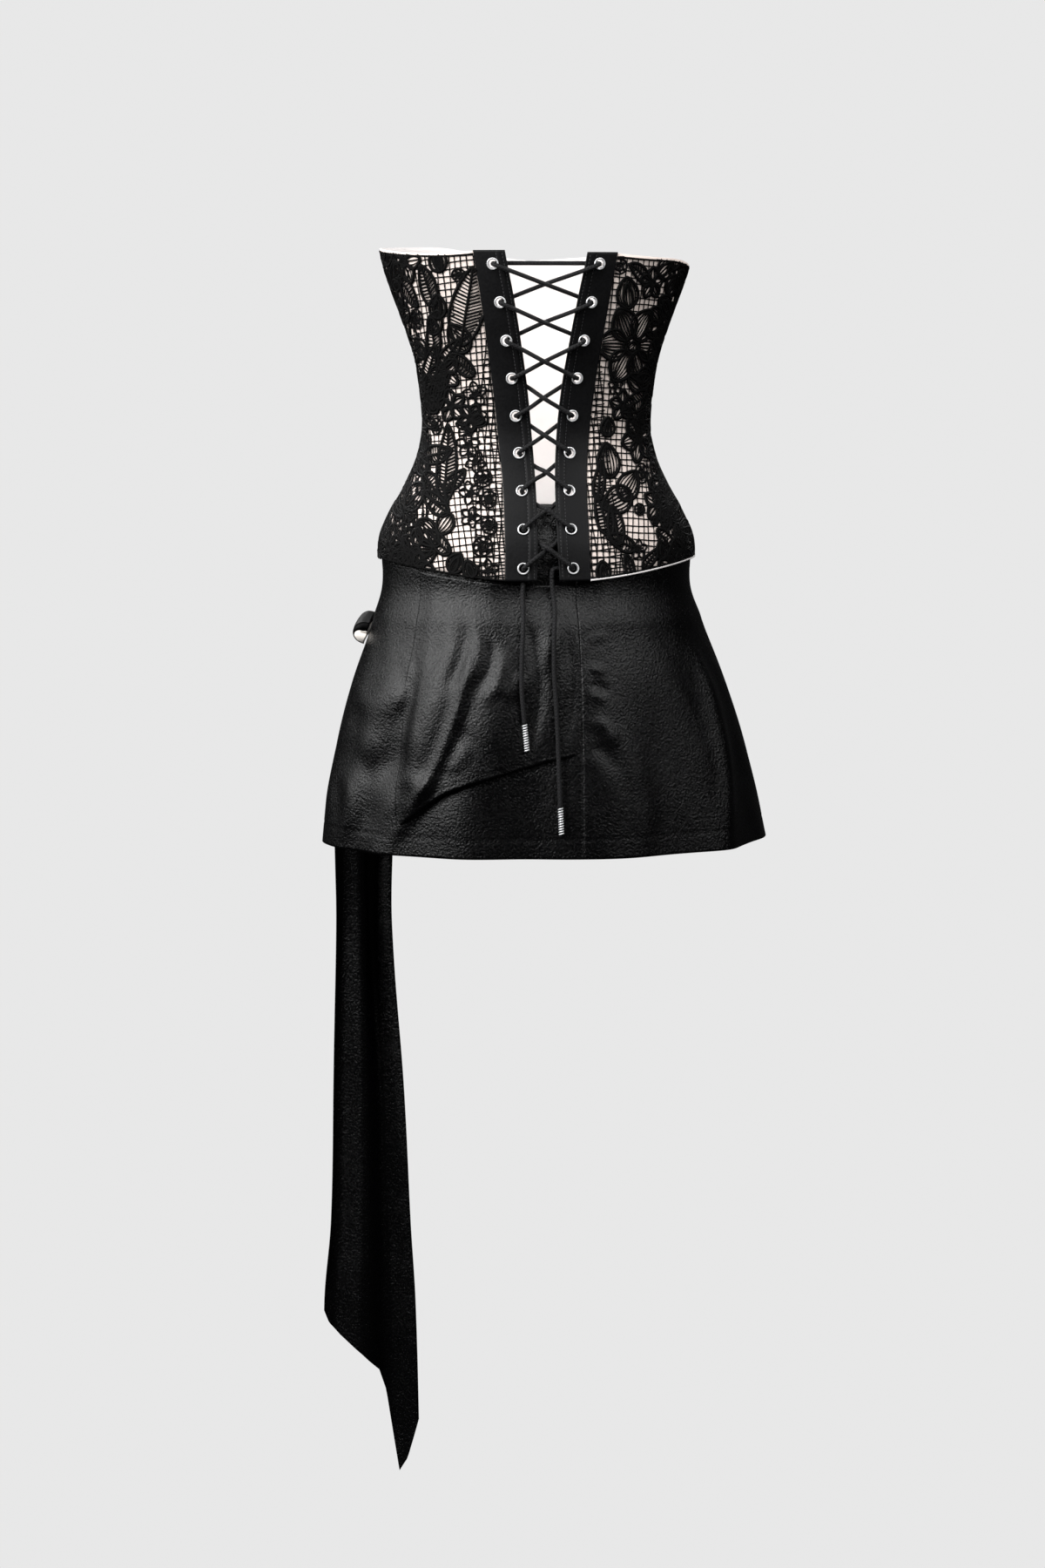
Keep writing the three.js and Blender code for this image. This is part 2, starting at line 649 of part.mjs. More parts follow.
const hipSeam = halfSeam(SKIRT_DEPTH);
const centreTurn = (z) => Math.asin((CENTRE_SEAM - along(SKIRT, "shift", z)) / along(SKIRT, "half", z));
const centreGap = halfSeam(SKIRT_HALF);
const leftPanel = (across, z) => {
  const [from, to] = [-QUARTER + hipSeam, centreTurn(z) - centreGap];
  return from + (to - from) * across;
};
const rightPanel = (across, z) => {
  const [from, to] = [centreTurn(z) + centreGap, QUARTER - hipSeam];
  return from + (to - from) * across;
};
const frontPanel = (across) => QUARTER + hipSeam + (Math.PI - 2 * hipSeam) * across;
addPiece("skirt_back_left", skirtWall(22, leftPanel), FINISH.satin);
addPiece("skirt_back_right", skirtWall(15, rightPanel), FINISH.satin);
addPiece("skirt_front", skirtWall(24, frontPanel), FINISH.satin);

// Overlay: a second layer on the skirt's left back, from the bodice's hem to a curved lower edge.
const mix = THREE.MathUtils.lerp;
const overlayLow = (x) => softBetween(OVERLAY_LOW, "x", "z", x, OVERLAY_ROUND);
addPiece(
  "skirt_overlay",
  clothWall(14, 12, (across, down, side) => {
    const bottom = overlayLow(mix(OVERLAY_LOW[0].x, CENTRE_SEAM, across));
    const top = bodiceHem(mix(OVERLAY_LEFT.top * DEGREE, centreTurn(HEM_SIDE), across)) - OVERLAY_TOP_DROP;
    const z = mix(top, bottom, down);
    const left = mix(OVERLAY_LEFT.top, OVERLAY_LEFT.low, down) * DEGREE;
    const turn = mix(left, centreTurn(z) - 2 * centreGap, across);
    return onFace(skirtFace, turn, z, overlayOff(turn, z) + (side ? SATIN : 0));
  }),
  FINISH.satin,
);

// Sash: gathered at the left hip, it lies on the skirt's front as far as the hem and then hangs free.
function sashWave(across, z) {
  const pleats = SASH_PLEATS;
  const open = mix(pleats.gathered, 1, smooth((SASH_TOP - z) / pleats.over));
  return pleats.out * open * Math.sin(2 * Math.PI * pleats.waves * across + pleats.start);
}

function sashOnSkirt(across, z, out) {
  const hem = SASH[0];
  const wide = mix(SASH_TOP_WIDE, hem.wide, smooth((SASH_TOP - z) / (SASH_TOP - hem.z)));
  const turn = SASH_TURN * DEGREE - ((across - 0.5) * wide) / SASH_WRAP;
  const deepest = -sashWave((1.5 - SASH_PLEATS.start / Math.PI) / (2 * SASH_PLEATS.waves), z);
  return onFace(skirtFace, turn, z, SASH_OFF + deepest + sashWave(across, z) + out);
}

function sashPoint(across, z, out) {
  const hem = SASH[0];
  if (z > hem.z) return sashOnSkirt(across, z, out);
  const slant = along(SASH, "slant", z) * DEGREE;
  const off = (across - 0.5) * along(SASH, "wide", z);
  const wave = sashWave(across, z) + out;
  const free = new THREE.Vector3(
    along(SASH, "x", z) + off * Math.cos(slant) - wave * Math.sin(slant),
    along(SASH, "y", z) + off * Math.sin(slant) + wave * Math.cos(slant),
    z,
  );
  return sashOnSkirt(across, hem.z, out).setZ(z).lerp(free, smooth((hem.z - z) / SASH_DROP));
}

addPiece(
  "sash",
  clothWall(11, 20, (across, down, side) => {
    const bottom = between(SASH_END, "across", "z", across);
    const z = SASH_TOP + (bottom - SASH_TOP) * down;
    return sashPoint(across, z, side ? SATIN : 0);
  }),
  FINISH.satin,
);

// Bow loop: a short band that leaves the hip, rounds out and comes back below.
addPiece(
  "sash_bow_loop",
  clothWall(8, 2, (round, forward, side) => {
    const angle = Math.PI * (round - 0.5);
    const thin = side ? 0 : BOW.cloth;
    const z = BOW.z + BOW.rise * (forward - 0.5) - (BOW.high - thin) * Math.sin(angle);
    const turn = BOW.turn * DEGREE - (BOW.wide * forward) / BOW.radius;
    return onFace(skirtFace, turn, z, SEAM + (BOW.out - thin) * Math.cos(angle) ** BOW.blunt);
  }),
  FINISH.satin,
);

export default dress;
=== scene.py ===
import math

import bmesh
import bpy
import numpy as np
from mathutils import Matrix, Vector


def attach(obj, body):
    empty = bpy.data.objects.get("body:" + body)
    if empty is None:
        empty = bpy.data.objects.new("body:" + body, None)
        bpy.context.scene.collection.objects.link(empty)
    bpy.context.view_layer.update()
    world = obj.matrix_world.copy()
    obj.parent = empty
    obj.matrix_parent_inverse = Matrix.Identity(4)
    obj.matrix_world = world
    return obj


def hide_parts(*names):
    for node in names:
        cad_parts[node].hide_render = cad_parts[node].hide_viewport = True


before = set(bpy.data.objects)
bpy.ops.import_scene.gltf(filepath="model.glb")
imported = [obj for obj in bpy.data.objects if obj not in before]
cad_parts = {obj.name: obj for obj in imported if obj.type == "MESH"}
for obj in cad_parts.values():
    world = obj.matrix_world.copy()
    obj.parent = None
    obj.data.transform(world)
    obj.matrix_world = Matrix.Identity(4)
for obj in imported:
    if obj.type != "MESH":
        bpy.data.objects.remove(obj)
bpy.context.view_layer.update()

MM = 0.001  # every size below is in millimetres, and meshes are made in metres

# Camera. It looks at the laced back from a little to the left and a little above, from far enough
# away that the hem stays nearly level, through a long lens.
CAMERA_TURN = math.radians(-5.5)
CAMERA_RISE = math.radians(8)
CAMERA_FAR = 3600
CAMERA_AIM = Vector((-19.7, -50.6, -371.7))
CAMERA_LENS = 78.26

toward = Vector((
    -math.sin(CAMERA_TURN) * math.cos(CAMERA_RISE),
    math.cos(CAMERA_TURN) * math.cos(CAMERA_RISE),
    -math.sin(CAMERA_RISE),
))
lens = bpy.data.cameras.new("camera")
lens.lens = CAMERA_LENS
lens.sensor_width = 36
camera = bpy.data.objects.new("camera", lens)
camera.location = (CAMERA_AIM - toward * CAMERA_FAR) * MM
camera.rotation_euler = toward.to_track_quat("-Z", "Y").to_euler()
bpy.context.scene.collection.objects.link(camera)
bpy.context.scene.camera = camera

# Hanging ends of the lacing: round braided cord that comes out under the hem of the bodice and hangs
# over the skirt. The shape of the bodice and of the skirt, on which every piece lies, is worked out
# here first. A turn is an angle round the body from the centre back, positive towards +X.
LINING = 1.2  # thickness of each cloth
PANEL = 2.4
SATIN = 1.2
SEAM = 0.3  # gap between neighbours
CORD = 2.3  # radius


def table(*rows, keys):
    """Named columns of numbers from rows whose heights run downwards."""
    return dict(zip(keys, np.array(rows, float).T))


BODICE = table(
    (205, 167, 104, 104),
    (166, 158, 102, 106),
    (120, 141.5, 96, 104),
    (80, 128, 88, 98),
    (48, 122, 82, 93),
    (2, 118.5, 78, 90),
    (-31, 125, 83, 91),
    (-60, 138, 93, 94),
    (-90, 155, 106, 98),
    (-118, 165.5, 117, 102),
    (-160, 165, 125, 106),
    keys=("z", "half", "back", "front"),
)
SKIRT = table(
    (-85, 150, 108, 96, 0),
    (-150, 164, 123, 104, 0),
    (-196, 176, 133, 113, 1),
    (-225, 185, 138, 120, 2),
    (-275, 202, 146, 131, 3),
    (-331, 218, 154, 143, 5),
    (-381, 229, 160, 152, 7),
    (-435, 238, 165, 160, 10),
    keys=("z", "half", "back", "front", "shift"),
)
PANEL_EDGES = table(
    (205, 46, 77.5),
    (182, 42, 73.5),
    (138, 33, 66),
    (93, 25, 59),
    (44, 17.5, 52),
    (-8, 12.5, 46.5),
    (-57, 10, 43.2),
    (-115, 10.2, 43.2),
    (-160, 12, 44),
    keys=("z", "inner", "outer"),
)
CUP_TURN, CUP_Z, CUP_OUT, CUP_WIDE, CUP_HIGH = 146, 122, 20, 24, 46
SKIRT_TOP = -85
SKIRT_HEM = -435
SKIRT_TUCK = 2
SKIRT_FREE_Z, SKIRT_FREE_OVER = -148, 50
# A shallow hollow behind, just under the bodice's hem, where the skirt lies flatter.
RECESS_DEEP, RECESS_WIDE, RECESS_Z, RECESS_OVER = 6.5, 50, -156, 70

# Large folds of the skirt: turn in degrees and height of the start and of the end, width, and how far out.
FOLD_FULL = 0.6
FOLDS = (
    (-24, -170, -50, -420, 8, 6),
    (-48, -185, -66, -435, 9, 5),
    (-37, -180, -58, -435, 7, -4),
    (-8, -190, -26, -400, 8, 4),
    (-4, -165, -8, -435, 9, -6),
    (14, -200, 16, -435, 9, 3),
    (34, -220, 30, -435, 9, -4),
    (60, -215, 48, -435, 7, 7),
    (72, -230, 66, -435, 9, -5),
    (-84, -330, -80, -435, 9, 4),
    (104, -230, 108, -435, 9, 5),
    (128, -210, 130, -435, 9, -5),
    (150, -230, 154, -435, 9, 5),
    (176, -210, 178, -435, 10, -5),
    (-160, -230, -158, -435, 9, 5),
    (-138, -230, -140, -435, 8, -4),
)


def along(rows, column, z):
    """A table's column at heights z: on each span a cubic, with the slopes of the neighbouring rows."""
    heights, values = rows["z"], rows[column]
    before = np.maximum(np.arange(len(heights)) - 1, 0)
    after = np.minimum(np.arange(len(heights)) + 1, len(heights) - 1)
    slopes = (values[after] - values[before]) / (heights[after] - heights[before])
    row = np.clip(np.searchsorted(-heights, -np.asarray(z, float)) - 1, 0, len(heights) - 2)
    span = heights[row + 1] - heights[row]
    t = np.clip((z - heights[row]) / span, 0, 1)
    return (
        values[row] * (2 * t**3 - 3 * t**2 + 1)
        + slopes[row] * span * (t**3 - 2 * t**2 + t)
        + values[row + 1] * (3 * t**2 - 2 * t**3)
        + slopes[row + 1] * span * (t**3 - t**2)
    )


def bell(distance, wide):
    """A soft hump: e to the minus square of distance over width."""
    return np.exp(-((distance / wide) ** 2))


def smooth(t):
    """A soft step from 0 to 1: three t squared less two t cubed, held flat outside."""
    t = np.clip(t, 0, 1)
    return t * t * (3 - 2 * t)


def mix(a, b, t):
    """The point a share t of the way from a to b."""
    return a + (b - a) * t


def unit(v):
    """Vectors brought to length 1."""
    return v / np.maximum(np.linalg.norm(v, axis=-1, keepdims=True), 1e-9)


def oval(rows, shift, turn, z):
    """Points of a table's oval section: a half ellipse behind and another in front."""
    depth = np.where(np.cos(turn) > 0, along(rows, "back", z), along(rows, "front", z))
    across = along(rows, "half", z) * np.sin(turn) + shift
    return np.stack(np.broadcast_arrays(across, -depth * np.cos(turn), z), -1).astype(float)


def outward_of(points):
    """Level unit vectors from the body's middle line to the points."""
    return unit(points * (1, 1, 0))


def torso(turn, z):
    """The bodice's inner face: the oval section and, in front, two soft cups."""
    points = oval(BODICE, 0, turn, z)
    cup = CUP_OUT * bell(np.abs(np.degrees(turn)) - CUP_TURN, CUP_WIDE) * bell(z - CUP_Z, CUP_HIGH)
    return points + outward_of(points) * cup[..., None]


def on_face(face, turn, z, out):
    """Points at distance out from a face, along its normal: the cross product of its two tangents."""
    turn, z, out = np.broadcast_arrays(turn, z, out)
    step = 1e-3
    around = face(turn + step, z) - face(turn - step, z)
    upward = face(turn, z + 1) - face(turn, z - 1)
    return face(turn, z) + unit(np.cross(around, upward)) * out[..., None]


def folds_at(turn, z):
    """The sum of the folds: each is a hump across a slanted line, full after a share of its way down."""
    total = 0
    for top, top_z, low, low_z, wide, out in FOLDS:
        down = (top_z - z) / (top_z - low_z)
        middle = mix(top, low, np.clip(down, 0, 1))
        apart = (np.degrees(turn) - middle + 180) % 360 - 180
        total = total + out * bell(apart, wide) * smooth(down / FOLD_FULL)
    return total


def skirt_face(turn, z):
    """The skirt's outer face: inside the bodice at the top, then its own oval section with folds."""
    turn, z = np.broadcast_arrays(np.asarray(turn, float), np.asarray(z, float))
    free = smooth((SKIRT_FREE_Z - z) / SKIRT_FREE_OVER)[..., None]
    tucked = on_face(torso, turn, np.maximum(z, SKIRT_FREE_Z), -SKIRT_TUCK)
    tucked[..., 2] = z
    points = mix(tucked, oval(SKIRT, along(SKIRT, "shift", z), turn, z), free)
    behind = np.where(np.cos(turn) > 0, np.exp(-((points[..., 0] / RECESS_WIDE) ** 6)), 0)
    recess = RECESS_DEEP * behind * (1 - smooth((RECESS_Z - z) / RECESS_OVER))
    return points + outward_of(points) * (folds_at(turn, z) - recess)[..., None]


OVERLAY_GAP = 1.5
BILLOW_OUT, BILLOW_TURN, BILLOW_WIDE, BILLOW_Z, BILLOW_OVER = 5, -32, 26, -160, 120


def overlay_off(turn, z):
    """How far the overlay's inner face lies off the skirt: a small gap and one broad billow."""
    share = bell(np.degrees(turn) - BILLOW_TURN, BILLOW_WIDE) * smooth((BILLOW_Z - z) / BILLOW_OVER)
    return OVERLAY_GAP + BILLOW_OUT * share


def bodice_turn(x, z):
    """The turn of a place on the bodice's back from its distance to the middle."""
    return np.arcsin(x / along(BODICE, "half", z))


def skirt_turn(x, z):
    """The turn of a place on the skirt's back from its distance to the middle."""
    return np.arcsin((x - along(SKIRT, "shift", z)) / along(SKIRT, "half", z))


def on_panel(x, z, out):
    """A place on a lacing panel, at distance out from the panel's middle layer."""
    return on_face(torso, bodice_turn(x, z), z, PANEL / 2 + out)


def run_along(points):
    """The way along a line of points, from its start to each of them."""
    return np.concatenate([[0], np.cumsum(np.linalg.norm(np.diff(points, axis=0), axis=1))])


def on_line(a, b, start, end, t):
    """The point at t on the straight line that is at a at start and at b at end."""
    return (end - t) / (end - start) * a + (t - start) / (end - start) * b


SPAN_STEPS = 24


def curve_through(points, step):
    """A smooth curve through points: centripetal Catmull-Rom spans, then even steps along it. On a span,
    lines between neighbours are blended by their knots, then those between each other, and so on."""
    points = np.vstack([2 * points[0] - points[1], points, 2 * points[-1] - points[-2]])
    knots = np.concatenate([[0], np.cumsum(np.linalg.norm(np.diff(points, axis=0), axis=1) ** 0.5)])
    spans = []
    share = np.linspace(0, 1, SPAN_STEPS, endpoint=False)[:, None]
    for i in range(1, len(points) - 2):
        p, k = points[i - 1 : i + 3], knots[i - 1 : i + 3]
        t = k[1] + (k[2] - k[1]) * share
        low = [on_line(p[j], p[j + 1], k[j], k[j + 1], t) for j in range(3)]
        mid = [on_line(low[j], low[j + 1], k[j], k[j + 2], t) for j in range(2)]
        spans.append(on_line(mid[0], mid[1], k[1], k[2], t))
    dense = np.vstack([*spans, points[-2][None]])
    run = run_along(dense)
    even = np.linspace(0, run[-1], max(int(round(run[-1] / step)), 2) + 1)
    return np.stack([np.interp(even, run, dense[:, axis]) for axis in range(3)], 1)


MERGED = 1e-6  # points nearer than this, in metres, become one


def make_mesh(name, points, quads, uv=None):
    """A piece from points in millimetres and rows of four corners. Doubled points are merged, which turns
    a quad with a doubled corner into a triangle."""
    mesh = bpy.data.meshes.new(name)
    mesh.vertices.add(len(points))
    mesh.vertices.foreach_set("co", np.ascontiguousarray(points * MM, np.float32).ravel())
    mesh.loops.add(quads.size)
    mesh.loops.foreach_set("vertex_index", np.ascontiguousarray(quads, np.int32).ravel())
    mesh.polygons.add(len(quads))
    mesh.polygons.foreach_set("loop_start", np.arange(len(quads), dtype=np.int32) * 4)
    mesh.polygons.foreach_set("use_smooth", np.ones(len(quads), bool))
    mesh.update(calc_edges=True)
    if uv is not None:
        corners = uv[quads.ravel()].astype(np.float32)
        mesh.uv_layers.new(name="cloth").data.foreach_set("uv", corners.ravel())
    shape = bmesh.new()
    shape.from_mesh(mesh)
    bmesh.ops.remove_doubles(shape, verts=shape.verts, dist=MERGED)
    shape.to_mesh(mesh)
    shape.free()
    piece = bpy.data.objects.new(name, mesh)
    bpy.context.scene.collection.objects.link(piece)
    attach(piece, "root")
    return piece


def grid_quads(rows, columns, start=0, turned=False):
    """Corners of the quads of a grid of points that is stored row by row. They face the way that the rows
    cross the columns, or the other way where turned."""
    corner = start + np.arange(rows * columns).reshape(rows, columns)
    quads = np.stack([corner[:-1, :-1], corner[1:, :-1], corner[1:, 1:], corner[:-1, 1:]], -1).reshape(-1, 4)
    return quads[:, ::-1] if turned else quads


END_TAPER = 0.7


def tube(name, path, radius, sides):
    """A round tube: rings of points round the path, each turned on from the one before, with its ends drawn
    to a point. Its UV map is the share of a turn and the way along in millimetres."""
    ahead = unit(np.gradient(path, axis=0))
    across = unit(np.cross(ahead[0], (0, 1, 0.01)))
    side = []
    for way in ahead:
        across = unit(across - way * np.dot(across, way))
        side.append(across)
    side = np.array(side)
    up = np.cross(ahead, side)
    path, side, up = (np.vstack([v[:1], v[:1], v, v[-1:], v[-1:]]) for v in (path, side, up))
    size = np.full(len(path), float(radius))
    size[[0, -1]] = 0
    size[[1, -2]] *= END_TAPER
    angle = np.linspace(0, 2 * math.pi, sides + 1)
    circle = np.cos(angle)[:, None] * side[:, None] + np.sin(angle)[:, None] * up[:, None]
    points = path[:, None] + circle * size[:, None, None]
    uv = np.stack(np.broadcast_arrays(angle / (2 * math.pi), run_along(path)[:, None]), -1)
    return make_mesh(name, points.reshape(-1, 3), grid_quads(len(path), sides + 1), uv.reshape(-1, 2))


class Socket:
    """A shader socket. Arithmetic on it adds Math nodes, and node() adds any other node."""

    def __init__(self, tree, link=None):
        self.tree = tree
        self.link = link

    def node(self, kind, settings=(), inputs=(), out=0):
        """A node of a type, with its settings and then the values or links of its sockets."""
        made = self.tree.nodes.new("ShaderNode" + kind)
        for name, value in dict(settings).items():
            setattr(made, name, value)
        for key, value in dict(inputs).items():
            if isinstance(value, Socket):
                self.tree.links.new(value.link, made.inputs[key])
            else:
                made.inputs[key].default_value = value
        return Socket(self.tree, made.outputs[out])

    def also(self, out):
        """Another output of this socket's node."""
        return Socket(self.tree, self.link.node.outputs[out])

    def math(self, operation, *values):
        """A Math node on numbers or sockets."""
        return self.node("Math", {"operation": operation}, dict(enumerate(values)))

    def __add__(self, other):
        return self.math("ADD", self, other)

    def __sub__(self, other):
        return self.math("SUBTRACT", self, other)

    def __mul__(self, other):
        return self.math("MULTIPLY", self, other)

    def __rsub__(self, other):
        return self.math("SUBTRACT", other, self)

    __radd__ = __add__
    __rmul__ = __mul__

    def blend(self, low, high):
        """A colour between two, by this socket's value."""
        inputs = {0: self, 6: (*low, 1), 7: (*high, 1)}
        return self.node("Mix", {"data_type": "RGBA"}, inputs, out=2)


def make_look(name, slot_name, draw, **plain):
    """A material and its slot: draw() gets a fresh socket and returns what varies, as links for the shader's
    sockets and a height in metres for its bump. plain holds the numbers that are the same all over."""
    material = bpy.data.materials.new(name)
    material.use_nodes = True
    tree = material.node_tree
    shader = tree.nodes["Principled BSDF"]
    for key, value in plain.items():
        shader.inputs[key.replace("_", " ")].default_value = value
    varying = draw(Socket(tree))
    height = varying.pop("height", None)
    for key, value in varying.items():
        tree.links.new(value.link, shader.inputs[key])
    if height is not None:
        bump = height.node("Bump", (), {"Strength": 1.0, "Distance": 1.0, "Height": height})
        tree.links.new(bump.link, shader.inputs["Normal"])
    return material, slot_name


def dress_in(piece, made):
    """Gives a piece its material."""
    material, slot_name = made
    piece.data.materials.clear()
    piece.data.materials.append(material)
    return piece


BRAID_ROUND = 4  # ribs round the cord
BRAID_PITCH = 3.6


def cord_look(s):
    """Braid: two sets of slanted ribs that cross, from the tube's own turns and length in millimetres."""
    place = s.node("UVMap", {"uv_map": "cloth"})
    split = s.node("SeparateXYZ", (), {0: place})
    across = split.also(0) * (2 * math.pi * BRAID_ROUND)
    length = split.also(1) * (2 * math.pi / BRAID_PITCH)
    left = s.math("SINE", across + length)
    right = s.math("SINE", across - length)
    ribs = s.math("MAXIMUM", left, right)
    shade = ribs * 0.25 + 0.5
    return {
        "Base Color": shade.blend((0.001, 0.001, 0.0012), (0.008, 0.008, 0.009)),
        "Roughness": 0.75 - ribs * 0.12,
        "height": ribs * 0.00022,
    }


CORD_LOOK = make_look("braided_cord", "cord", cord_look, Sheen_Weight=0.03, Specular_IOR_Level=0.25)

CORD_SIDES = 14
CORD_STEP = 1.5
END_CLEAR = 0.8
EYELET_ROWS = 9
EYELET_TOP = 171.3
EYELET_STEP = 38.8
EYELET_INSET = 14.4
CORD_UNDER = -4.6
LEAVING_DOWN = 10  # the cord's halves leave the bodice this far below the last eyelets
eyelet_z = EYELET_TOP - EYELET_STEP * np.arange(EYELET_ROWS)
eyelet_off = along(PANEL_EDGES, "inner", eyelet_z) + EYELET_INSET
leaving_x = {"left": -eyelet_off[-1] - 1, "right": 4}
leaving_z = eyelet_z[-1] - LEAVING_DOWN
HANGING = {
    "left": {
        "x": [-26.6, -27.6, -27.2, -27.2, -29.2, -30.6, -29.6, -28.8],
        "z": [-156, -166, -180, -200, -232, -262, -285, -296],
    },
    "right": {
        "x": [4.2, 5.6, 6.2, 4.2, 4.2, 6.4, 8, 9, 9.6],
        "z": [-156, -170, -184, -212, -245, -280, -320, -360, -381],
    },
}
# The tips: a wire wound round a core, which starts and stops a little inside the wire's two ends.
TIP_RADIUS, TIP_LONG = 2.9, 29
WIRE, WIRE_PITCH, WIRE_STEPS, WIRE_SIDES = 0.75, 2.7, 16, 7
CORE_START, CORE_STOP, CORE_CLEAR, CORE_STEPS, CORE_SIDES = 0.6, 0.5, 0.25, 24, 12


def metal_look(s):
    """Bright plating with fine scratches that soften it here and there."""
    place = s.node("TexCoord", (), (), out=3)
    cloud = s.node("TexNoise", (), {"Vector": place, "Scale": 300.0, "Detail": 3.0})
    return {
        "Base Color": cloud.blend((0.84, 0.84, 0.85), (0.95, 0.95, 0.96)),
        "Roughness": cloud * 0.18 + 0.22,
    }


METAL_LOOK = make_look("bright_plating", "metal", metal_look, Metallic=0.5)
for hand, stops in HANGING.items():
    x, z = np.array(stops["x"]), np.array(stops["z"], float)
    turn = skirt_turn(x, z)
    hanging = on_face(skirt_face, turn, z, overlay_off(turn, z) + SATIN + TIP_RADIUS + END_CLEAR)
    leaving = on_panel(leaving_x[hand], leaving_z - 2 * SEAM, CORD_UNDER)
    path = curve_through(np.vstack([leaving[None], hanging]), CORD_STEP)
    end = dress_in(tube(f"lace_end_{hand}", path, CORD, CORD_SIDES), CORD_LOOK)
    way = unit(path[-1] - path[-3])
    side = unit(np.cross(way, (0, 1, 0)))
    run = np.linspace(0, 1, int(TIP_LONG / WIRE_PITCH) * WIRE_STEPS)[:, None]
    angle = run * TIP_LONG / WIRE_PITCH * 2 * math.pi
    reach = TIP_RADIUS - WIRE
    coil = path[-1] + way * (SEAM + WIRE + run * (TIP_LONG - 2 * WIRE))
    coil = coil + reach * (np.cos(angle) * side + np.sin(angle) * np.cross(way, side))
    tip = dress_in(tube(f"lace_tip_{hand}", coil, WIRE, WIRE_SIDES), METAL_LOOK)
    core_path = path[-1] + way * np.linspace(CORE_START, TIP_LONG - CORE_STOP, CORE_STEPS)[:, None]
    core = tube(f"lace_tip_core_{hand}", core_path, reach - CORE_CLEAR, CORE_SIDES)
    dress_in(core, CORD_LOOK)
    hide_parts(f"lace_end_{hand}")
    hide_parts(f"lace_tip_{hand}")

# Bodice lining: one front and two backs of pale woven cotton, boned, which carry the lace. They show
# through the lace, as a thin line above and below it, and all over on the inside.
NECK_TURN = (-180, -145, -90, -60, -40, -22, 0, 22, 40, 60, 90, 145, 180)
NECK_Z = (176, 190.5, 188, 183, 181.5, 184.5, 186.5, 182, 178.5, 177, 169, 182, 176)
NECK_ROUND = 6
HEM_SIDE, HEM_BACK_DIP, HEM_FRONT_DIP, HEM_POINTED = -135, 19, 12, 2.5
QUARTER = math.pi / 2
SIDE_RADIUS = 80
HALF_SEAM = SEAM / 2 / SIDE_RADIUS  # half a seam's gap as an angle at the sides
LINING_ROWS = 64
WEAVE = 0.9  # pitch of the weave


def rounded_line(place, marks, heights, reach):
    """Heights that run straight between marks, rounded by taking the mean over a short reach."""
    around = [np.interp(place + share * reach, marks, heights) for share in (-1, -0.5, 0, 0.5, 1)]
    return np.mean(around, axis=0)


def neckline(turn):
    """The neckline's height at a turn."""
    return rounded_line((np.degrees(turn) + 180) % 360 - 180, NECK_TURN, NECK_Z, NECK_ROUND)


def bodice_hem(turn):
    """The hem's height: level at the sides, with a pointed dip behind and a smaller one in front."""
    dip = np.where(np.cos(turn) > 0, HEM_BACK_DIP, HEM_FRONT_DIP)
    return HEM_SIDE - dip * np.abs(np.cos(turn)) ** HEM_POINTED


def shell(name, skin, back):
    """A closed cloth wall from two grids of points, joined at their edges by strips. Its UV map is the way
    round and down, in millimetres."""
    rows, columns = skin.shape[:2]
    count = rows * columns
    corner = np.arange(count).reshape(rows, columns)
    edge = np.concatenate([corner[0, :-1], corner[:-1, -1], corner[-1, :0:-1], corner[:0:-1, 0]])
    after = np.roll(edge, -1)
    strip = np.stack([edge, after, after + count, edge + count], -1)
    quads = np.vstack([grid_quads(rows, columns), grid_quads(rows, columns, count, True), strip])
    across = np.cumsum(np.linalg.norm(np.diff(skin, axis=1, prepend=skin[:, :1]), axis=-1), axis=1)
    down = np.cumsum(np.linalg.norm(np.diff(skin, axis=0, prepend=skin[:1]), axis=-1), axis=0)
    uv = np.stack([across, down], -1).reshape(-1, 2)
    points = np.vstack([skin.reshape(-1, 3), back.reshape(-1, 3)])
    return make_mesh(name, points, quads, np.vstack([uv, uv]))


def bodice_grid(from_turn, to_turn, columns, rows):
    """Turns and heights of a bodice piece from neckline to hem. from_turn and to_turn give its two edges at
    a height."""
    share = np.linspace(0, 1, columns)[None, :]
    down = np.linspace(0, 1, rows)[:, None]
    middle = mix(from_turn(0), to_turn(0), share)
    z = mix(neckline(middle), bodice_hem(middle), down)
    return mix(from_turn(z), to_turn(z), share), z


def band_turn(z):
    """Turn of the seam between the right lacing panel and the lace."""
    return bodice_turn(along(PANEL_EDGES, "outer", z) + SEAM, z)


def upright(turn):
    """An edge that has the same turn at every height."""
    return lambda z: turn + 0 * z


# The two edges of each piece, and its columns.
BODICE_PIECES = {
    "back_left": (upright(-QUARTER + HALF_SEAM), lambda z: -band_turn(z), 50),
    "back_right": (band_turn, upright(QUARTER - HALF_SEAM), 50),
    "front": (upright(QUARTER + HALF_SEAM), upright(3 * QUARTER - HALF_SEAM), 110),
}


def lining_look(low, high):
    """Plain weave: the product of two crossed sine waves, and a faint cloudy tint between two shades."""

    def draw(s):
        """What varies over the cloth."""
        place = s.node("UVMap", {"uv_map": "cloth"})
        split = s.node("SeparateXYZ", (), {0: place})
        warp = s.math("SINE", split.also(0) * (2 * math.pi / WEAVE))
        weft = s.math("SINE", split.also(1) * (2 * math.pi / WEAVE))
        cloud = s.node("TexNoise", (), {"Vector": place, "Scale": 0.06, "Detail": 2.0})
        return {
            "Base Color": cloud.blend(low, high),
            "height": warp * weft * 0.00004,
            "Roughness": cloud * 0.1 + 0.78,
        }

    return draw


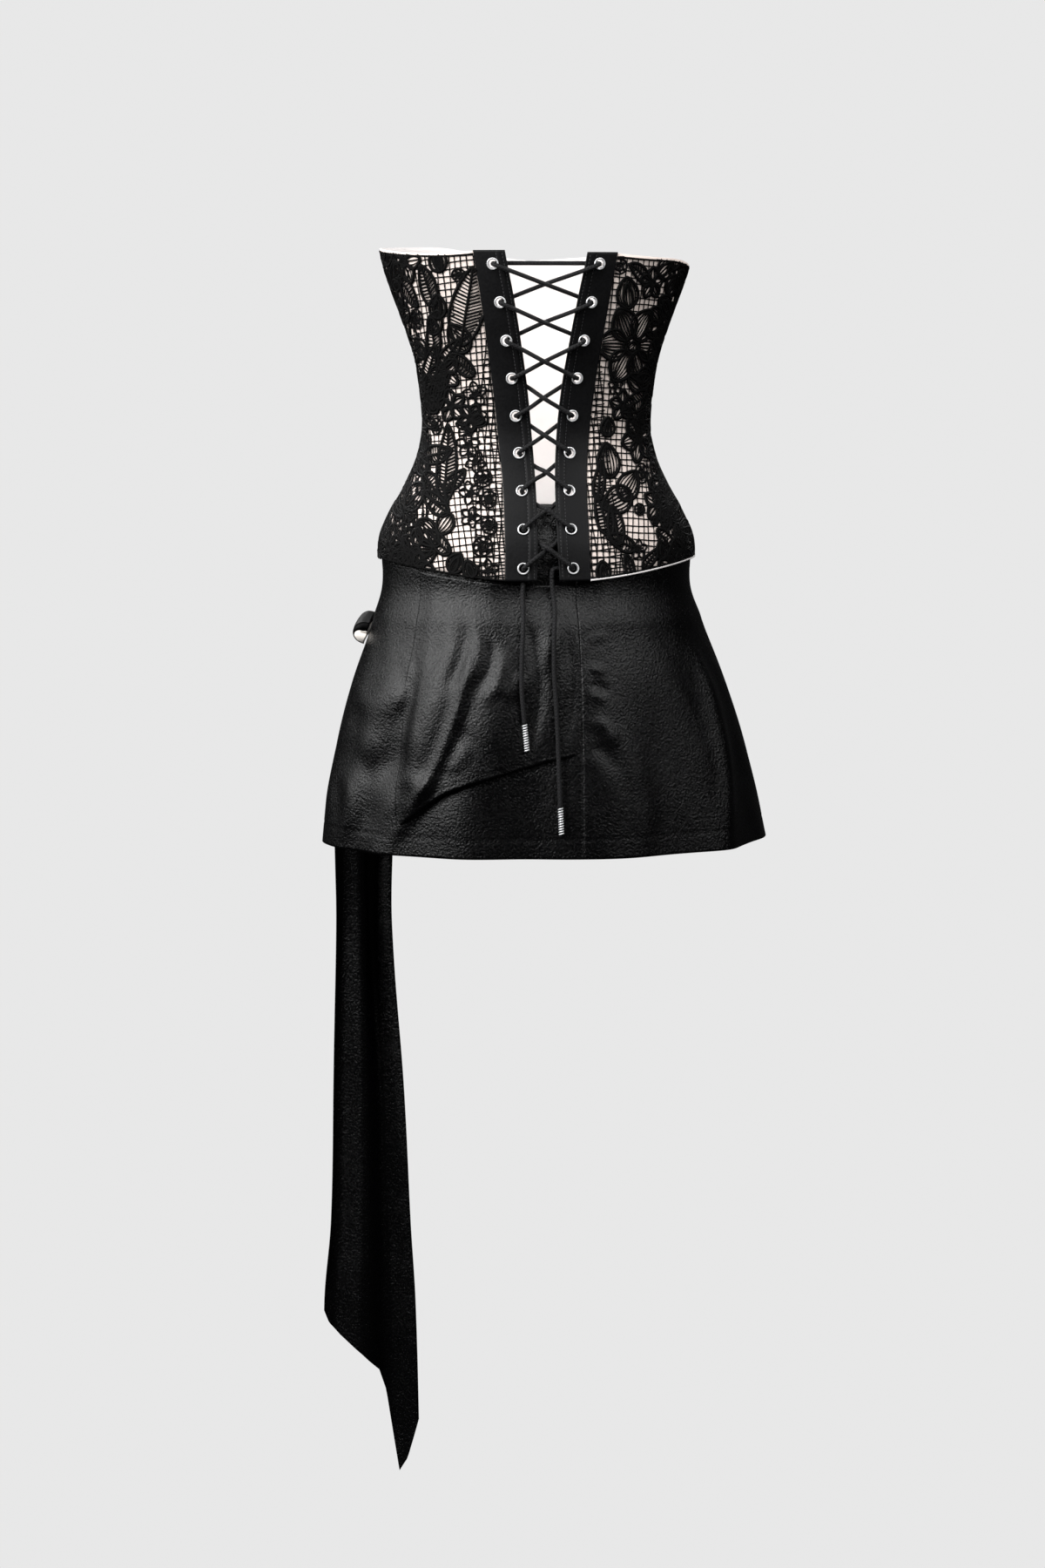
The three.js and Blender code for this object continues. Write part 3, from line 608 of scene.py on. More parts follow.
LINING_LOOK = make_look("pale_lining", "lining", lining_look((0.88, 0.75, 0.68), (0.93, 0.82, 0.76)))
FRONT_LINING_LOOK = make_look(
    "pale_front_lining",
    "lining",
    lining_look((0.76, 0.73, 0.72), (0.82, 0.79, 0.78)),
)
laid_on = {}  # what each lining carries
for where, (from_turn, to_turn, columns) in BODICE_PIECES.items():
    turn, z = bodice_grid(from_turn, to_turn, columns, LINING_ROWS)
    skin = on_face(torso, turn, z, LINING)
    look = FRONT_LINING_LOOK if where == "front" else LINING_LOOK
    piece = dress_in(shell(f"lining_{where}", skin, on_face(torso, turn, z, 0)), look)
    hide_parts(f"lining_{where}")
    laid_on[where] = []

# Hem piping: a thin round edge of the pale lining, sewn along the right back's hem, where it shows below
# the lace as a light line.
PIPING = 1.0
PIPING_STEPS, PIPING_SIDES = 60, 8
share = np.linspace(0, 1, PIPING_STEPS)
piping_turn = mix(band_turn(HEM_SIDE), QUARTER - HALF_SEAM, share)
piping = on_face(torso, piping_turn, bodice_hem(piping_turn) + PIPING, LINING + PIPING)
piece = dress_in(tube("hem_piping_right", piping, PIPING, PIPING_SIDES), FRONT_LINING_LOOK)
laid_on["back_right"].append(piece)

# Lacing panels: two bands of charcoal satin over boning, with nine eyelet holes each. A bone lies in a
# channel between two rows of stitches, between the holes and the free edge.
EYELET_HOLE, HOLE_DEEP, HOLE_SIDES = 4.5, 12, 28
STITCH_LONG, STITCH_GAP, STITCH_INSIDE = 2.4, 1.1, 3
STITCH_WIDE, STITCH_HIGH, STITCH_BOW = 0.35, 0.25, 0.25
CHANNEL = (3.2, 9.4)
BONE_HIGH, BONE_EASE = 0.45, 1.2
GROOVE_DEEP, GROOVE_WIDE = 0.35, 0.7
PANEL_COLUMNS, PANEL_ROWS = 34, 150
PANEL_TURN = 0.3  # the turn at which a panel's top and bottom are cut


def panel_relief(off):
    """Height of the panel's outer face, by distance from its inner edge: a low ridge where the bone lies,
    with a groove on each side."""
    low, high = CHANNEL
    bone = BONE_HIGH * smooth((off - low) / BONE_EASE) * smooth((high - off) / BONE_EASE)
    grooves = -GROOVE_DEEP * (bell(off - low, GROOVE_WIDE) + bell(off - high, GROOVE_WIDE))
    return bone + grooves


SPECK_SHARE = 0.5  # the grain's share of the satin's shade


def satin_look(dark, light, gloss, grain):
    """Satin: fine grain in its sheen, and slow clouds that vary its shade and gloss. gloss is the roughness,
    and grain the grain's height in metres."""

    def draw(s):
        """What varies over the cloth."""
        place = s.node("TexCoord", (), (), out=3)
        fine = s.node("TexNoise", (), {"Vector": place, "Scale": 460.0, "Detail": 4.0})
        slow = s.node("TexNoise", (), {"Vector": place, "Scale": 22.0, "Detail": 4.0, "Roughness": 0.6})
        speck = s.node("MapRange", (), {0: fine, 1: 0.35, 2: 0.7, 3: 0.0, 4: 1.0})
        shade = speck * SPECK_SHARE + slow * (1 - SPECK_SHARE)
        return {
            "Base Color": shade.blend(dark, light),
            "Roughness": gloss + (slow - 0.5) * 0.16 + (speck - 0.5) * 0.1,
            "height": fine * grain,
        }

    return draw


PANEL_LOOK = make_look(
    "panel_satin",
    "panel",
    satin_look((0.002, 0.002, 0.0023), (0.006, 0.006, 0.0065), 0.5, 0.00015),
    Specular_IOR_Level=0.13,
)
THREAD_LOOK = make_look(
    "black_thread",
    "panel",
    satin_look((0.010, 0.010, 0.011), (0.03, 0.03, 0.033), 0.5, 0.00005),
    Sheen_Weight=0.1,
)


def threads(points, normals, wide, high, keep=None):
    """Thin flat threads: a ring of four points round each point of many lines at once, joined along each
    line where keep says so, and capped where a stretch starts or ends. points is lines by stops by xyz."""
    lines, stops = points.shape[:2]
    keep = np.ones((lines, stops - 1), bool) if keep is None else keep
    ahead = unit(np.gradient(points, axis=1))
    side = unit(np.cross(ahead, normals))
    wide, high = (np.asarray(size, float).reshape(-1, 1, 1) for size in (wide, high))
    ring = [side * wide, normals * high, -side * wide, -normals * high]
    corners = np.stack([points + r for r in ring], 2)
    index = np.arange(lines * stops * 4).reshape(lines, stops, 4)
    a, b = index[:, :-1], index[:, 1:]
    quads = np.stack([a, b, np.roll(b, -1, -1), np.roll(a, -1, -1)], -1)[keep].reshape(-1, 4)
    off = np.zeros((lines, 1), bool)
    starts = keep & ~np.hstack([off, keep[:, :-1]])
    ends = keep & ~np.hstack([keep[:, 1:], off])
    used = np.vstack([quads, a[starts], b[ends][:, ::-1]])
    live, used = np.unique(used, return_inverse=True)
    return corners.reshape(-1, 3)[live], used.reshape(-1, 4)


def join_threads(name, groups):
    """One piece from several groups of threads."""
    points, quads, count = [], [], 0
    for group_points, group_quads in groups:
        points.append(group_points)
        quads.append(group_quads + count)
        count += len(group_points)
    return make_mesh(name, np.vstack(points), np.vstack(quads))


def cut_holes(piece, centres, ways, radius, depth):
    """Cuts round holes through a piece, with one cutter made of all the cylinders."""
    sizes = {"radius1": radius * MM, "radius2": radius * MM, "depth": depth * MM}
    shape = bmesh.new()
    for centre, way in zip(centres, ways):
        turned = Vector(way).to_track_quat("Z", "Y").to_matrix().to_4x4()
        turned.translation = Vector(centre * MM)
        bmesh.ops.create_cone(shape, cap_ends=True, segments=HOLE_SIDES, matrix=turned, **sizes)
    mesh = bpy.data.meshes.new("cutter")
    shape.to_mesh(mesh)
    shape.free()
    cutter = bpy.data.objects.new("cutter", mesh)
    bpy.context.scene.collection.objects.link(cutter)
    cut = piece.modifiers.new("holes", "BOOLEAN")
    cut.operation = "DIFFERENCE"
    cut.solver = "EXACT"
    cut.object = cutter
    seen = piece.evaluated_get(bpy.context.evaluated_depsgraph_get())
    whole = bpy.data.meshes.new_from_object(seen)
    piece.modifiers.clear()
    piece.data = whole
    bpy.data.objects.remove(cutter)


def face_way(face, turn, z):
    """Unit normals of a face."""
    return on_face(face, turn, z, 1.0) - face(turn, z)


SIDES = {"left": -1, "right": 1}
for hand, side in SIDES.items():
    share = np.linspace(0, 1, PANEL_COLUMNS)[None, :]
    top, low = neckline(side * PANEL_TURN), bodice_hem(side * PANEL_TURN)
    z = np.linspace(top, low, PANEL_ROWS)[:, None] + 0 * share
    off = mix(0, along(PANEL_EDGES, "outer", z) - along(PANEL_EDGES, "inner", z), share)
    if side < 0:
        off = off[:, ::-1]
    turn = bodice_turn(side * (along(PANEL_EDGES, "inner", z) + off), z)
    skin = on_face(torso, turn, z, PANEL + panel_relief(off))
    piece = shell(f"lacing_panel_{hand}", skin, on_face(torso, turn, z, 0.0))
    x = side * eyelet_off
    turn = bodice_turn(x, eyelet_z)
    ways = face_way(torso, turn, eyelet_z)
    cut_holes(piece, on_panel(x, eyelet_z, 0.0), ways, EYELET_HOLE, HOLE_DEEP)
    dress_in(piece, PANEL_LOOK)
    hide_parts(f"lacing_panel_{hand}")
    z = np.arange(top - STITCH_INSIDE, low + STITCH_INSIDE, -(STITCH_LONG + STITCH_GAP))
    ends = np.stack([z, z - STITCH_LONG / 2, z - STITCH_LONG], 1)
    sewn = []
    for line in CHANNEL:
        x = side * (along(PANEL_EDGES, "inner", ends) + line)
        turn = bodice_turn(x, ends)
        lift = PANEL + panel_relief(np.float64(line)) + np.array([0.0, STITCH_BOW, 0.0])
        laid = on_face(torso, turn, ends, lift)
        sewn.append(threads(laid, face_way(torso, turn, ends), STITCH_WIDE, STITCH_HIGH))
    stitches = dress_in(join_threads(f"panel_stitches_{hand}", sewn), THREAD_LOOK)

# Eyelets: rings of bright plated metal, nine in each lacing panel. Each is pressed through a hole, and its
# rolled rim in front holds it. The outline gives radius and height above the panel's middle layer.
RING = np.array([
    (4.25, -1.6), (4.3, 1.7), (4.75, 2.3), (4.95, 2.75), (5.3, 3.0), (5.7, 2.95), (6.05, 2.6), (6.15, 2.1),
    (6.05, 1.75), (4.45, 1.6), (4.4, -1.5), (4.25, -1.6),
])
RING_SIDES = 36


def ring(name, centre, way):
    """A ring: a closed outline of radius and height carried round an axis."""
    side = unit(np.cross(way, (0, 0, 1)))
    up = np.cross(side, way)
    angle = np.linspace(0, 2 * math.pi, RING_SIDES + 1)[:, None]
    spoke = np.cos(angle) * side + np.sin(angle) * up
    points = centre + spoke[:, None] * RING[None, :, :1] + way * RING[None, :, 1:]
    return make_mesh(name, points.reshape(-1, 3), grid_quads(RING_SIDES + 1, len(RING)))


for hand, side in SIDES.items():
    x = side * eyelet_off
    centres = on_panel(x, eyelet_z, 0.0)
    ways = face_way(torso, bodice_turn(x, eyelet_z), eyelet_z)
    for row in range(EYELET_ROWS):
        piece = dress_in(ring(f"eyelet_ring_{hand}_{row + 1}", centres[row], ways[row]), METAL_LOOK)
        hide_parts(f"eyelet_{hand}_{row + 1}")

# Lacing: one round braided cord in two halves that cross in the gap, each through one eyelet of every row.
# Its two ends come out under the bodice's hem.
CORD_OVER = 5.7  # how far out the cord lies on a panel
CORD_EDGE = 4.4  # and where it passes a panel's inner edge
CORD_CROSS = 4.3  # half the way between two halves that cross
CORD_CROSS_OVER = 2.6  # and where both come over the edge
CORD_BEND = 4.7
CORD_PAST_EDGE = 1
CORD_TURNS_DOWN = 4.4  # where the half that ends on the right turns down
LACING_SIDES, LACING_STEP = 12, 1.6
# For each crossing, whether a half leaves an eyelet over the panel, 1, or under it, -1, and how it arrives.
CROSSINGS = [(1, -1), (1, -1), (1, 1)] + [(-1, 1)] * 5


def cord_level(way):
    """How far out the cord lies at an eyelet, over the panel or under it."""
    return CORD_OVER if way > 0 else CORD_UNDER


def half_route(start):
    """Stops of one half as distance from the middle, height, distance out, and whether it bends there."""
    stops = []
    hand = start
    for row, (leaving, reaching) in enumerate(CROSSINGS):
        x0, z0 = hand * eyelet_off[row], eyelet_z[row]
        x1, z1 = -hand * eyelet_off[row + 1], eyelet_z[row + 1]
        half = float(along(PANEL_EDGES, "inner", (z0 + z1) / 2)) - CORD_PAST_EDGE
        in_front = 1 if (start < 0) == (row % 2 == 0) else -1
        both_over = leaving == reaching == 1
        middle, apart = (CORD_EDGE, CORD_CROSS_OVER) if both_over else (0, CORD_CROSS)
        for x, out, bends in (
            (x0, cord_level(leaving), True),
            (hand * half, leaving * CORD_EDGE, False),
            (0, middle + in_front * apart, False),
            (-hand * half, reaching * CORD_EDGE, False),
            (x1, cord_level(reaching), True),
        ):
            stops.append((x, z0 + (z1 - z0) * (x - x0) / (x1 - x0), out, bends))
        hand = -hand
    return stops


def rounded(stops):
    """Points of a route: each bend is replaced by a short curve that touches the lines on both sides."""
    places = [on_panel(x, z, out) for x, z, out, _ in stops]
    points = [places[0]]
    for before, place, after, stop in zip(places, places[1:], places[2:], stops[1:]):
        if not stop[3]:
            points.append(place)
            continue
        a = place + unit(before - place) * CORD_BEND
        b = place + unit(after - place) * CORD_BEND
        points += [a, a / 4 + place / 2 + b / 4, b]
    return np.array([*points, places[-1]])


first, last, last_z = eyelet_off[0], eyelet_off[-1], eyelet_z[-1]
ROUTES = {
    "lacing_from_left": [
        (first - CORD - 2 * SEAM, EYELET_TOP, CORD_UNDER, False),
        (-first, EYELET_TOP, CORD_UNDER, True),
        *half_route(-1),
        (-last, last_z, CORD_UNDER, True),
        (leaving_x["left"], leaving_z, CORD_UNDER, False),
    ],
    "lacing_from_right": [
        (first, EYELET_TOP, CORD_UNDER - CORD, False),
        *half_route(1),
        (last, last_z, CORD_UNDER, True),
        (CORD_TURNS_DOWN, last_z + 1, CORD_UNDER, True),
        (leaving_x["right"], leaving_z, CORD_UNDER, False),
    ],
}
for name, stops in ROUTES.items():
    path = curve_through(rounded(stops), LACING_STEP)
    piece = dress_in(tube(name, path, CORD, LACING_SIDES), CORD_LOOK)
    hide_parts(name)

# Bodice lace: square net darned with flowers, leaves and rosettes in heavier thread, laid flat over the
# lining. It is sparse beside the lacing panels and grows dense towards the sides.
LACE_OUT = LINING + SEAM
NET_PITCH, NET_STEP = 6.7, 4.4
NET_WIDE, NET_HIGH = 0.62, 0.35
ANY_PHASE = 6.3  # a random phase is drawn up to about a whole turn
LACE_SHORT = 2.0  # the lace ends this far inside the neckline and the hem
HEM_COVERED = 0.3  # but on the left it covers the lining down to its hem
LACE_CLEAR = 0.2  # gap between the lace and a lacing panel
FILL_PITCH = 3.5
LEAST_STEP = 1e-6  # keeps a division from meeting zero
REACH = 460.0  # more than the way from the centre back to the centre front
JUST_INSIDE = 1.001  # keeps an index inside a grid's last cell
# The bodice's surface laid flat: at each level, the way round from the centre back to each turn, and the
# turn at each even step of that way.
LEVELS = np.linspace(206, -162, 140)
AROUND = np.linspace(0, math.pi, 500)
LAID = np.linspace(0, REACH, 700)
level_rings = torso(AROUND[None, :], LEVELS[:, None])
level_steps = np.diff(level_rings, axis=1, prepend=level_rings[:, :1])
arc = np.cumsum(np.linalg.norm(level_steps, axis=-1), axis=1)
turn_laid = np.stack([np.interp(LAID, row, AROUND) for row in arc])


def between(grid, z, across, step):
    """A value between the four nearest entries of a grid of levels by even steps across."""
    row = np.clip((LEVELS[0] - z) / (LEVELS[0] - LEVELS[1]), 0, grid.shape[0] - JUST_INSIDE)
    column = np.clip(across / step, 0, grid.shape[1] - JUST_INSIDE)
    i, j = row.astype(int), column.astype(int)
    u, v = row - i, column - j
    upper = grid[i, j] * (1 - v) + grid[i, j + 1] * v
    lower = grid[i + 1, j] * (1 - v) + grid[i + 1, j + 1] * v
    return upper * (1 - u) + lower * u


def arc_at(turn, z):
    """The way round from the centre back to a turn, at heights z."""
    return between(arc, z, turn + 0 * z, AROUND[1])


def turn_at(s, z):
    """The turn at a way round from the centre back, at heights z."""
    return between(turn_laid, z, s, LAID[1])


def lace_place(part, s, z):
    """Turn of a place on the lace laid flat: s is the way from the centre back, negative on the left, or
    from the centre front for a front piece."""
    if part == "front":
        turn = turn_at(arc_at(math.pi, z) - np.abs(s), z)
        return np.where(s < 0, turn, 2 * math.pi - turn)
    return np.sign(s) * turn_at(np.abs(s), z)


def lace_depth(part, s, z):
    """How far places lie inside a lace piece's seams, neckline and hem: the least of the four distances."""
    turn = lace_place(part, s, z)
    low = np.where((turn < 0) | (turn > math.pi), HEM_COVERED, LACE_SHORT)
    depth = np.minimum(neckline(turn) - LACE_SHORT - z, z - bodice_hem(turn) - low)
    side_seam = arc_at(QUARTER, z)
    if part == "front":
        return np.minimum(depth, arc_at(math.pi, z) - side_seam - SEAM - np.abs(s))
    band = arc_at(band_turn(z), z)
    return np.minimum(depth, np.minimum(np.abs(s) - band - LACE_CLEAR, side_seam - SEAM - np.abs(s)))


def lay_threads(part, lines, wide, high, out, wanted=True):
    """Threads on the lace from lines laid flat. A stretch that leaves the piece is cut off at its edge."""
    depth = lace_depth(part, lines[..., 0], lines[..., 1])
    inside = depth > 0
    cut = lines.copy()
    for near, far in ((slice(1, None), slice(None, -1)), (slice(None, -1), slice(1, None))):
        crossing = inside[:, near] & ~inside[:, far]
        share = depth[:, near] / np.maximum(depth[:, near] - depth[:, far], LEAST_STEP)
        edge = mix(lines[:, near], lines[:, far], share[..., None])
        cut[:, far][crossing] = edge[crossing]
    turn = lace_place(part, cut[..., 0], cut[..., 1])
    keep = (inside[:, 1:] | inside[:, :-1]) & wanted
    z = cut[..., 1]
    return threads(on_face(torso, turn, z, out), face_way(torso, turn, z), wide, high, keep)


def turned(points, angle):
    """Flat points turned by an angle in degrees."""
    c, s = math.cos(math.radians(angle)), math.sin(math.radians(angle))
    return points @ np.array([[c, s], [-s, c]])


def net_lines(low, high, tilt, rng):
    """Both sets of net threads over a flat box: straight lines at an even pitch with a slow waver."""
    middle = (np.array(low) + np.array(high)) / 2
    half = np.linalg.norm(np.array(high) - low) / 2
    offsets = np.arange(-half, half, NET_PITCH)
    run = np.arange(-half, half, NET_STEP)
    sets = []
    for level in (True, False):
        phase = rng.uniform(0, ANY_PHASE, (len(offsets), 1))
        waver = 0.5 * np.sin(run / 31 + phase) + 0.35 * np.sin(run / 9.5 + 2 * phase)
        flat = np.stack(np.broadcast_arrays(offsets[:, None] + waver, run[None, :]), -1)
        sets.append(turned(flat[..., ::-1] if level else flat, tilt) + middle)
    return sets


# Where the lace turns near-black towards the side seams, as distances from the centre back.
DARK_Z = (-140, -118, -99, -81, -44, 0, 29, 48, 66, 85, 103, 121, 158, 186)
DARK_X = {
    "left": (140, 130, 122, 116, 110, 112, 110, 114, 119, 123, 127, 132, 141, 149),
    "right": (143, 133, 122, 117, 109, 106, 102, 106, 114, 119, 122, 129, 135, 130),
}
DARK_FRONT = 60  # how far from the side seam, in front
DARK_PITCH, DARK_STEP = 2.35, 4.6
DARK_WIDE, DARK_OUT = 1.12, 0.5
SPECKS, SPECKS_MORE, SPECKS_OVER = 0.12, 3, 14  # share left open, and how much more near the line


def past_dark(part, hand, s, z):
    """How far places lie past the line where the lace turns near-black, as distances across."""
    if part == "front":
        to_seam = arc_at(math.pi, z) - arc_at(QUARTER, z)
        return np.abs(s) - to_seam + DARK_FRONT + 10 * np.sin(z / 19) + 7 * np.sin(z / 47)
    across = along(BODICE, "half", z) * np.sin(np.abs(lace_place(part, s, z)))
    return across - np.interp(z, DARK_Z, DARK_X[hand])


def close_darning(part, hand, low, high, rng):
    """Close darning that leaves only specks open: nearly upright threads that waver and break off at random,
    past a ragged line."""
    s = np.arange(low[0], high[0], DARK_PITCH)[:, None]
    z = np.arange(low[1], high[1], DARK_STEP)[None, :]
    phase = rng.uniform(0, ANY_PHASE, s.shape)
    s = s + 1.3 * np.sin(z / 17 + s / 9) + 0.7 * np.sin(z / 6.1 + phase)
    lines = np.stack(np.broadcast_arrays(s, z), -1)
    past = past_dark(part, hand, s, z + 0 * s) + 5 * np.sin(z / 8 + s / 6) + 3 * np.sin(s / 2.7)
    past = past[:, 1:]
    open_share = SPECKS * (1 + SPECKS_MORE * np.exp(-np.maximum(past, 0) / SPECKS_OVER))
    whole = rng.random(past.shape) > open_share
    return lay_threads(part, lines, DARK_WIDE, NET_HIGH, LACE_OUT + DARK_OUT, whole & (past > 0))


OUTLINE = np.linspace(0, 2 * math.pi, 26)
RUNG = np.linspace(-1, 1, 9)
PETAL_LOW, PETAL_BLUNT = 0.8, 0.7
FAN = (0.03, 0.97)  # the part of a petal's length that a fan of threads covers
RUNG_SHORT, RUNG_SLANT = 0.96, 0.16
ROSETTE_FLAT, ROSETTE_INNER, ROSETTE_SLANT = 0.88, 0.5, 0.5


def petal(length, width, curve=0.0, streaked=True):
    """A petal or leaf from its base at the origin, upwards: an outline that is widest below its middle, and
    filling threads in it, which fan out along it where streaked, and else are rungs across it. curve bends
    its middle line sideways."""

    def half_width(t):
        """Half the width at a share of the length: half a sine wave, made blunt."""
        return width / 2 * np.sin(math.pi * t**PETAL_LOW) ** PETAL_BLUNT

    def bent(x, y):
        """Places moved sideways by a quarter of a sine wave, squared."""
        return np.stack(np.broadcast_arrays(x + curve * np.sin(math.pi * y / length / 2) ** 2, y), -1)

    t = (1 - np.cos(OUTLINE)) / 2
    outline = bent(np.sign(np.sin(OUTLINE)) * half_width(np.clip(t, 0, 1)), t * length)
    if streaked:
        run = np.linspace(*FAN, len(RUNG))[None, :]
        fan = np.linspace(-1, 1, max(int(width / FILL_PITCH) + 1, 3))[1:-1, None]
        rungs = bent(fan * half_width(run), run * length)
    else:
        levels = np.arange(FILL_PITCH, length - FILL_PITCH * 0.6, FILL_PITCH)
        reach = half_width(levels / length)[:, None] * RUNG_SHORT
        rungs = bent(reach * RUNG, np.clip(levels[:, None], 0, length))
    return {"outline": outline[None], "rungs": rungs}


def centred(pattern, length):
    """A pattern moved so that its middle is at the origin."""
    return {key: lines - (0, length / 2) for key, lines in pattern.items()}


def leaf(length, width, curve=6.0):
    """A petal with a midrib, whose rungs slant up on both sides of it."""
    made = petal(length, width, curve, streaked=False)
    rib = np.linspace(0, 1, len(OUTLINE))
    made["rib"] = np.stack([curve * np.sin(math.pi * rib / 2) ** 2, rib * length], -1)[None]
    x, y = made["rungs"][..., 0], made["rungs"][..., 1]
    made["rungs"] = np.stack([x, np.minimum(y + np.abs(RUNG) * width * RUNG_SLANT, length)], -1)
    return centred(made, length)


def rosette(size):
    """Two rings of thread, the inner one askew, with a few slanted stitches between and inside them."""
    rim = np.stack([np.cos(OUTLINE), np.sin(OUTLINE) * ROSETTE_FLAT], -1)
    inner = rim * ROSETTE_INNER + (0.06, -0.05)
    spokes = np.linspace(0, 2 * math.pi, 8)[:-1, None]
    reach = np.linspace(ROSETTE_INNER, 1, len(RUNG))[None, :]
    angle = spokes + reach * ROSETTE_SLANT
    lines = np.stack([np.cos(angle) * reach, np.sin(angle) * reach * ROSETTE_FLAT], -1)
    bars = np.stack(np.broadcast_arrays(RUNG * 0.4, np.array([[-0.22], [0.02], [0.26]]) + RUNG * 0.2), -1)
    half = size / 2
    return {"ribs": np.stack([rim, inner]) * half, "rungs": np.concatenate([lines, bars]) * half}


def together(*parts):
    """Several flat patterns as one."""
    keys = {key for part in parts for key in part}
    return {key: np.concatenate([part[key] for part in parts if key in part]) for key in sorted(keys)}


def placed(pattern, s, z, angle):
    """A pattern turned and moved to its place."""
    return {key: turned(lines, angle) + (s, z) for key, lines in pattern.items()}


def ring_of(pattern, count, away, start=0.0):
    """Copies of a pattern that point outwards from a small circle."""
    around = []
    for angle in start + 360 * np.arange(count) / count:
        x, z = turned(np.array([0, away]), angle)
        around.append(placed(pattern, x, z, angle))
    return around


def flower(size, petals, start=0.0):
    """Petals round a small rosette."""
    around = ring_of(petal(size * 0.42, size * 0.38), petals, size * 0.09, start)
    return together(rosette(size * 0.26), *around)


def posy(size):
    """A small flower of thin loops."""
    loop = {"ribs": petal(size * 0.42, size * 0.34)["outline"]}
    return together(*ring_of(loop, 5, size * 0.1), {"rungs": rosette(size * 0.5)["rungs"]})


PATTERNS = {
    "flower": lambda size: flower(size, 5),
    "bloom": lambda size: flower(size, 6, 20.0),
    "leaf": lambda size: leaf(size, size * 0.46),
    "blade": lambda size: leaf(size, size * 0.31, 8),
    "petal": lambda size: centred(petal(size, size * 0.72), size),
    "bud": lambda size: centred(together(petal(size, size * 0.8), petal(size * 0.8, size * 0.34)), size),
    "rosette": rosette,
    "posy": posy,
}
USUAL_SIZES = {"leaf": 44, "flower": 42, "blade": 52, "rosette": 20, "bud": 26, "petal": 34, "bloom": 48}

# Set places on the two back pieces: pattern, distance from the centre back, height, size, and turn.
SET_LEFT = (
    ("flower", 100, 60, 40, 20), ("leaf", 84, 66, 34, 64), ("posy", 70, 38, 26, 10),
    ("leaf", 106, 40, 36, 10), ("flower", 74, 14, 30, 40), ("leaf", 120, 148, 44, 30),
    ("petal", 110, 112, 26, -20), ("bud", 109, 175, 24, 20), ("leaf", 82, 128, 80, -4),
    ("petal", 87, 96, 34, 36), ("bud", 108, 128, 25, 0), ("leaf", 113, 96, 42, 16),
    ("leaf", 97, 82, 36, -28), ("posy", 103, 52, 26, 10), ("flower", 93, 26, 34, 12),
    ("rosette", 66, 13, 20, 0), ("posy", 79, 4, 22, 0), ("blade", 101, -34, 80, 4),
    ("leaf", 93, -50, 32, -34), ("posy", 77, -15, 26, 0), ("posy", 70, -32, 22, 40),
    ("rosette", 63, -49, 19, 20), ("posy", 76, -64, 24, 15), ("rosette", 58, -70, 17, 70),
    ("posy", 77, -88, 21, 50), ("rosette", 59, -96, 18, 130), ("rosette", 66, -117, 21, 40),
    ("posy", 61, -141, 22, 0), ("leaf", 111, -116, 34, 62), ("bud", 93, -134, 22, -30),
    ("leaf", 125, -128, 30, -50), ("bud", 79, -140, 18, 20), ("leaf", 143, -126, 28, 30),
    ("petal", 103, -96, 26, 140), ("rosette", 88, 160, 14, 0),
)
SET_RIGHT = (
    ("bud", 85, 142, 32, 8), ("bloom", 92, 88, 84, 8), ("petal", 67, -31, 36, 8),
    ("petal", 89, -57, 36, -42), ("petal", 75, -72, 38, 112), ("leaf", 57, -88, 42, 28),
    ("leaf", 69, -98, 40, 22), ("flower", 83, 26, 32, 0), ("leaf", 95, 4, 42, 32),
    ("bud", 67, 4, 20, 0), ("rosette", 99, -82, 13, 0), ("rosette", 115, -94, 11, 0),
    ("leaf", 77, -117, 34, 80), ("bud", 57, -142, 19, 10), ("leaf", 83, -140, 24, 40),
    ("leaf", 107, -130, 26, -30), ("bud", 122, -124, 20, 20), ("posy", 96, -122, 20, 0),
    ("rosette", 75, 169, 18, 0), ("leaf", 97, 160, 30, 70), ("flower", 112, 152, 32, 0),
    ("petal", 97, 50, 26, 60), ("blade", 53, -52, 40, 6), ("posy", 75, 46, 18, 0),
)


def laid_flat(sets, hand):
    """Set places with their distance across turned into the way round the body."""
    flat = []
    for name, x, z, size, angle in sets:
        z = np.array([float(z)])
        flat.append((name, SIDES[hand] * float(arc_at(bodice_turn(x, z), z)[0]), z[0], size, angle))
    return flat


TRIES = 2600
DARK_MARGIN = 6
SIZE_VARIES = (0.85, 1.15)


def scattered(part, hand, low, high, rng, spacing):
    """Random patterns over a flat box, for a back piece only where the lace turns near-black."""
    chosen = []
    names = list(USUAL_SIZES)
    for _ in range(TRIES):
        place = np.array([[rng.uniform(low[0], high[0])], [rng.uniform(low[1], high[1])]])
        s, z = place[:, 0]
        if part == "back" and past_dark(part, hand, *place)[0] < -DARK_MARGIN:
            continue
        if any((s - a) ** 2 + (z - b) ** 2 < spacing**2 for _, a, b, _, _ in chosen):
            continue
        name = names[int(rng.integers(len(names)))]
        chosen.append((name, s, z, USUAL_SIZES[name] * rng.uniform(*SIZE_VARIES), rng.uniform(0, 360)))
    return chosen


# Key, half width, half height and how far out of each kind of thread in a pattern.
THREAD_KINDS = (
    ("rungs", 0.92, 0.3, 0.85),
    ("ribs", 1.1, 0.4, 0.95),
    ("rib", 1.5, 0.5, 0.9),
    ("outline", 1.85, 0.5, 0.9),
)
NET_LEFT_OUT = 1.5  # the net ends inside a petal at this share of its spread
UNEVEN = (0.75, 1.3)  # how much the fillings' threads vary in width


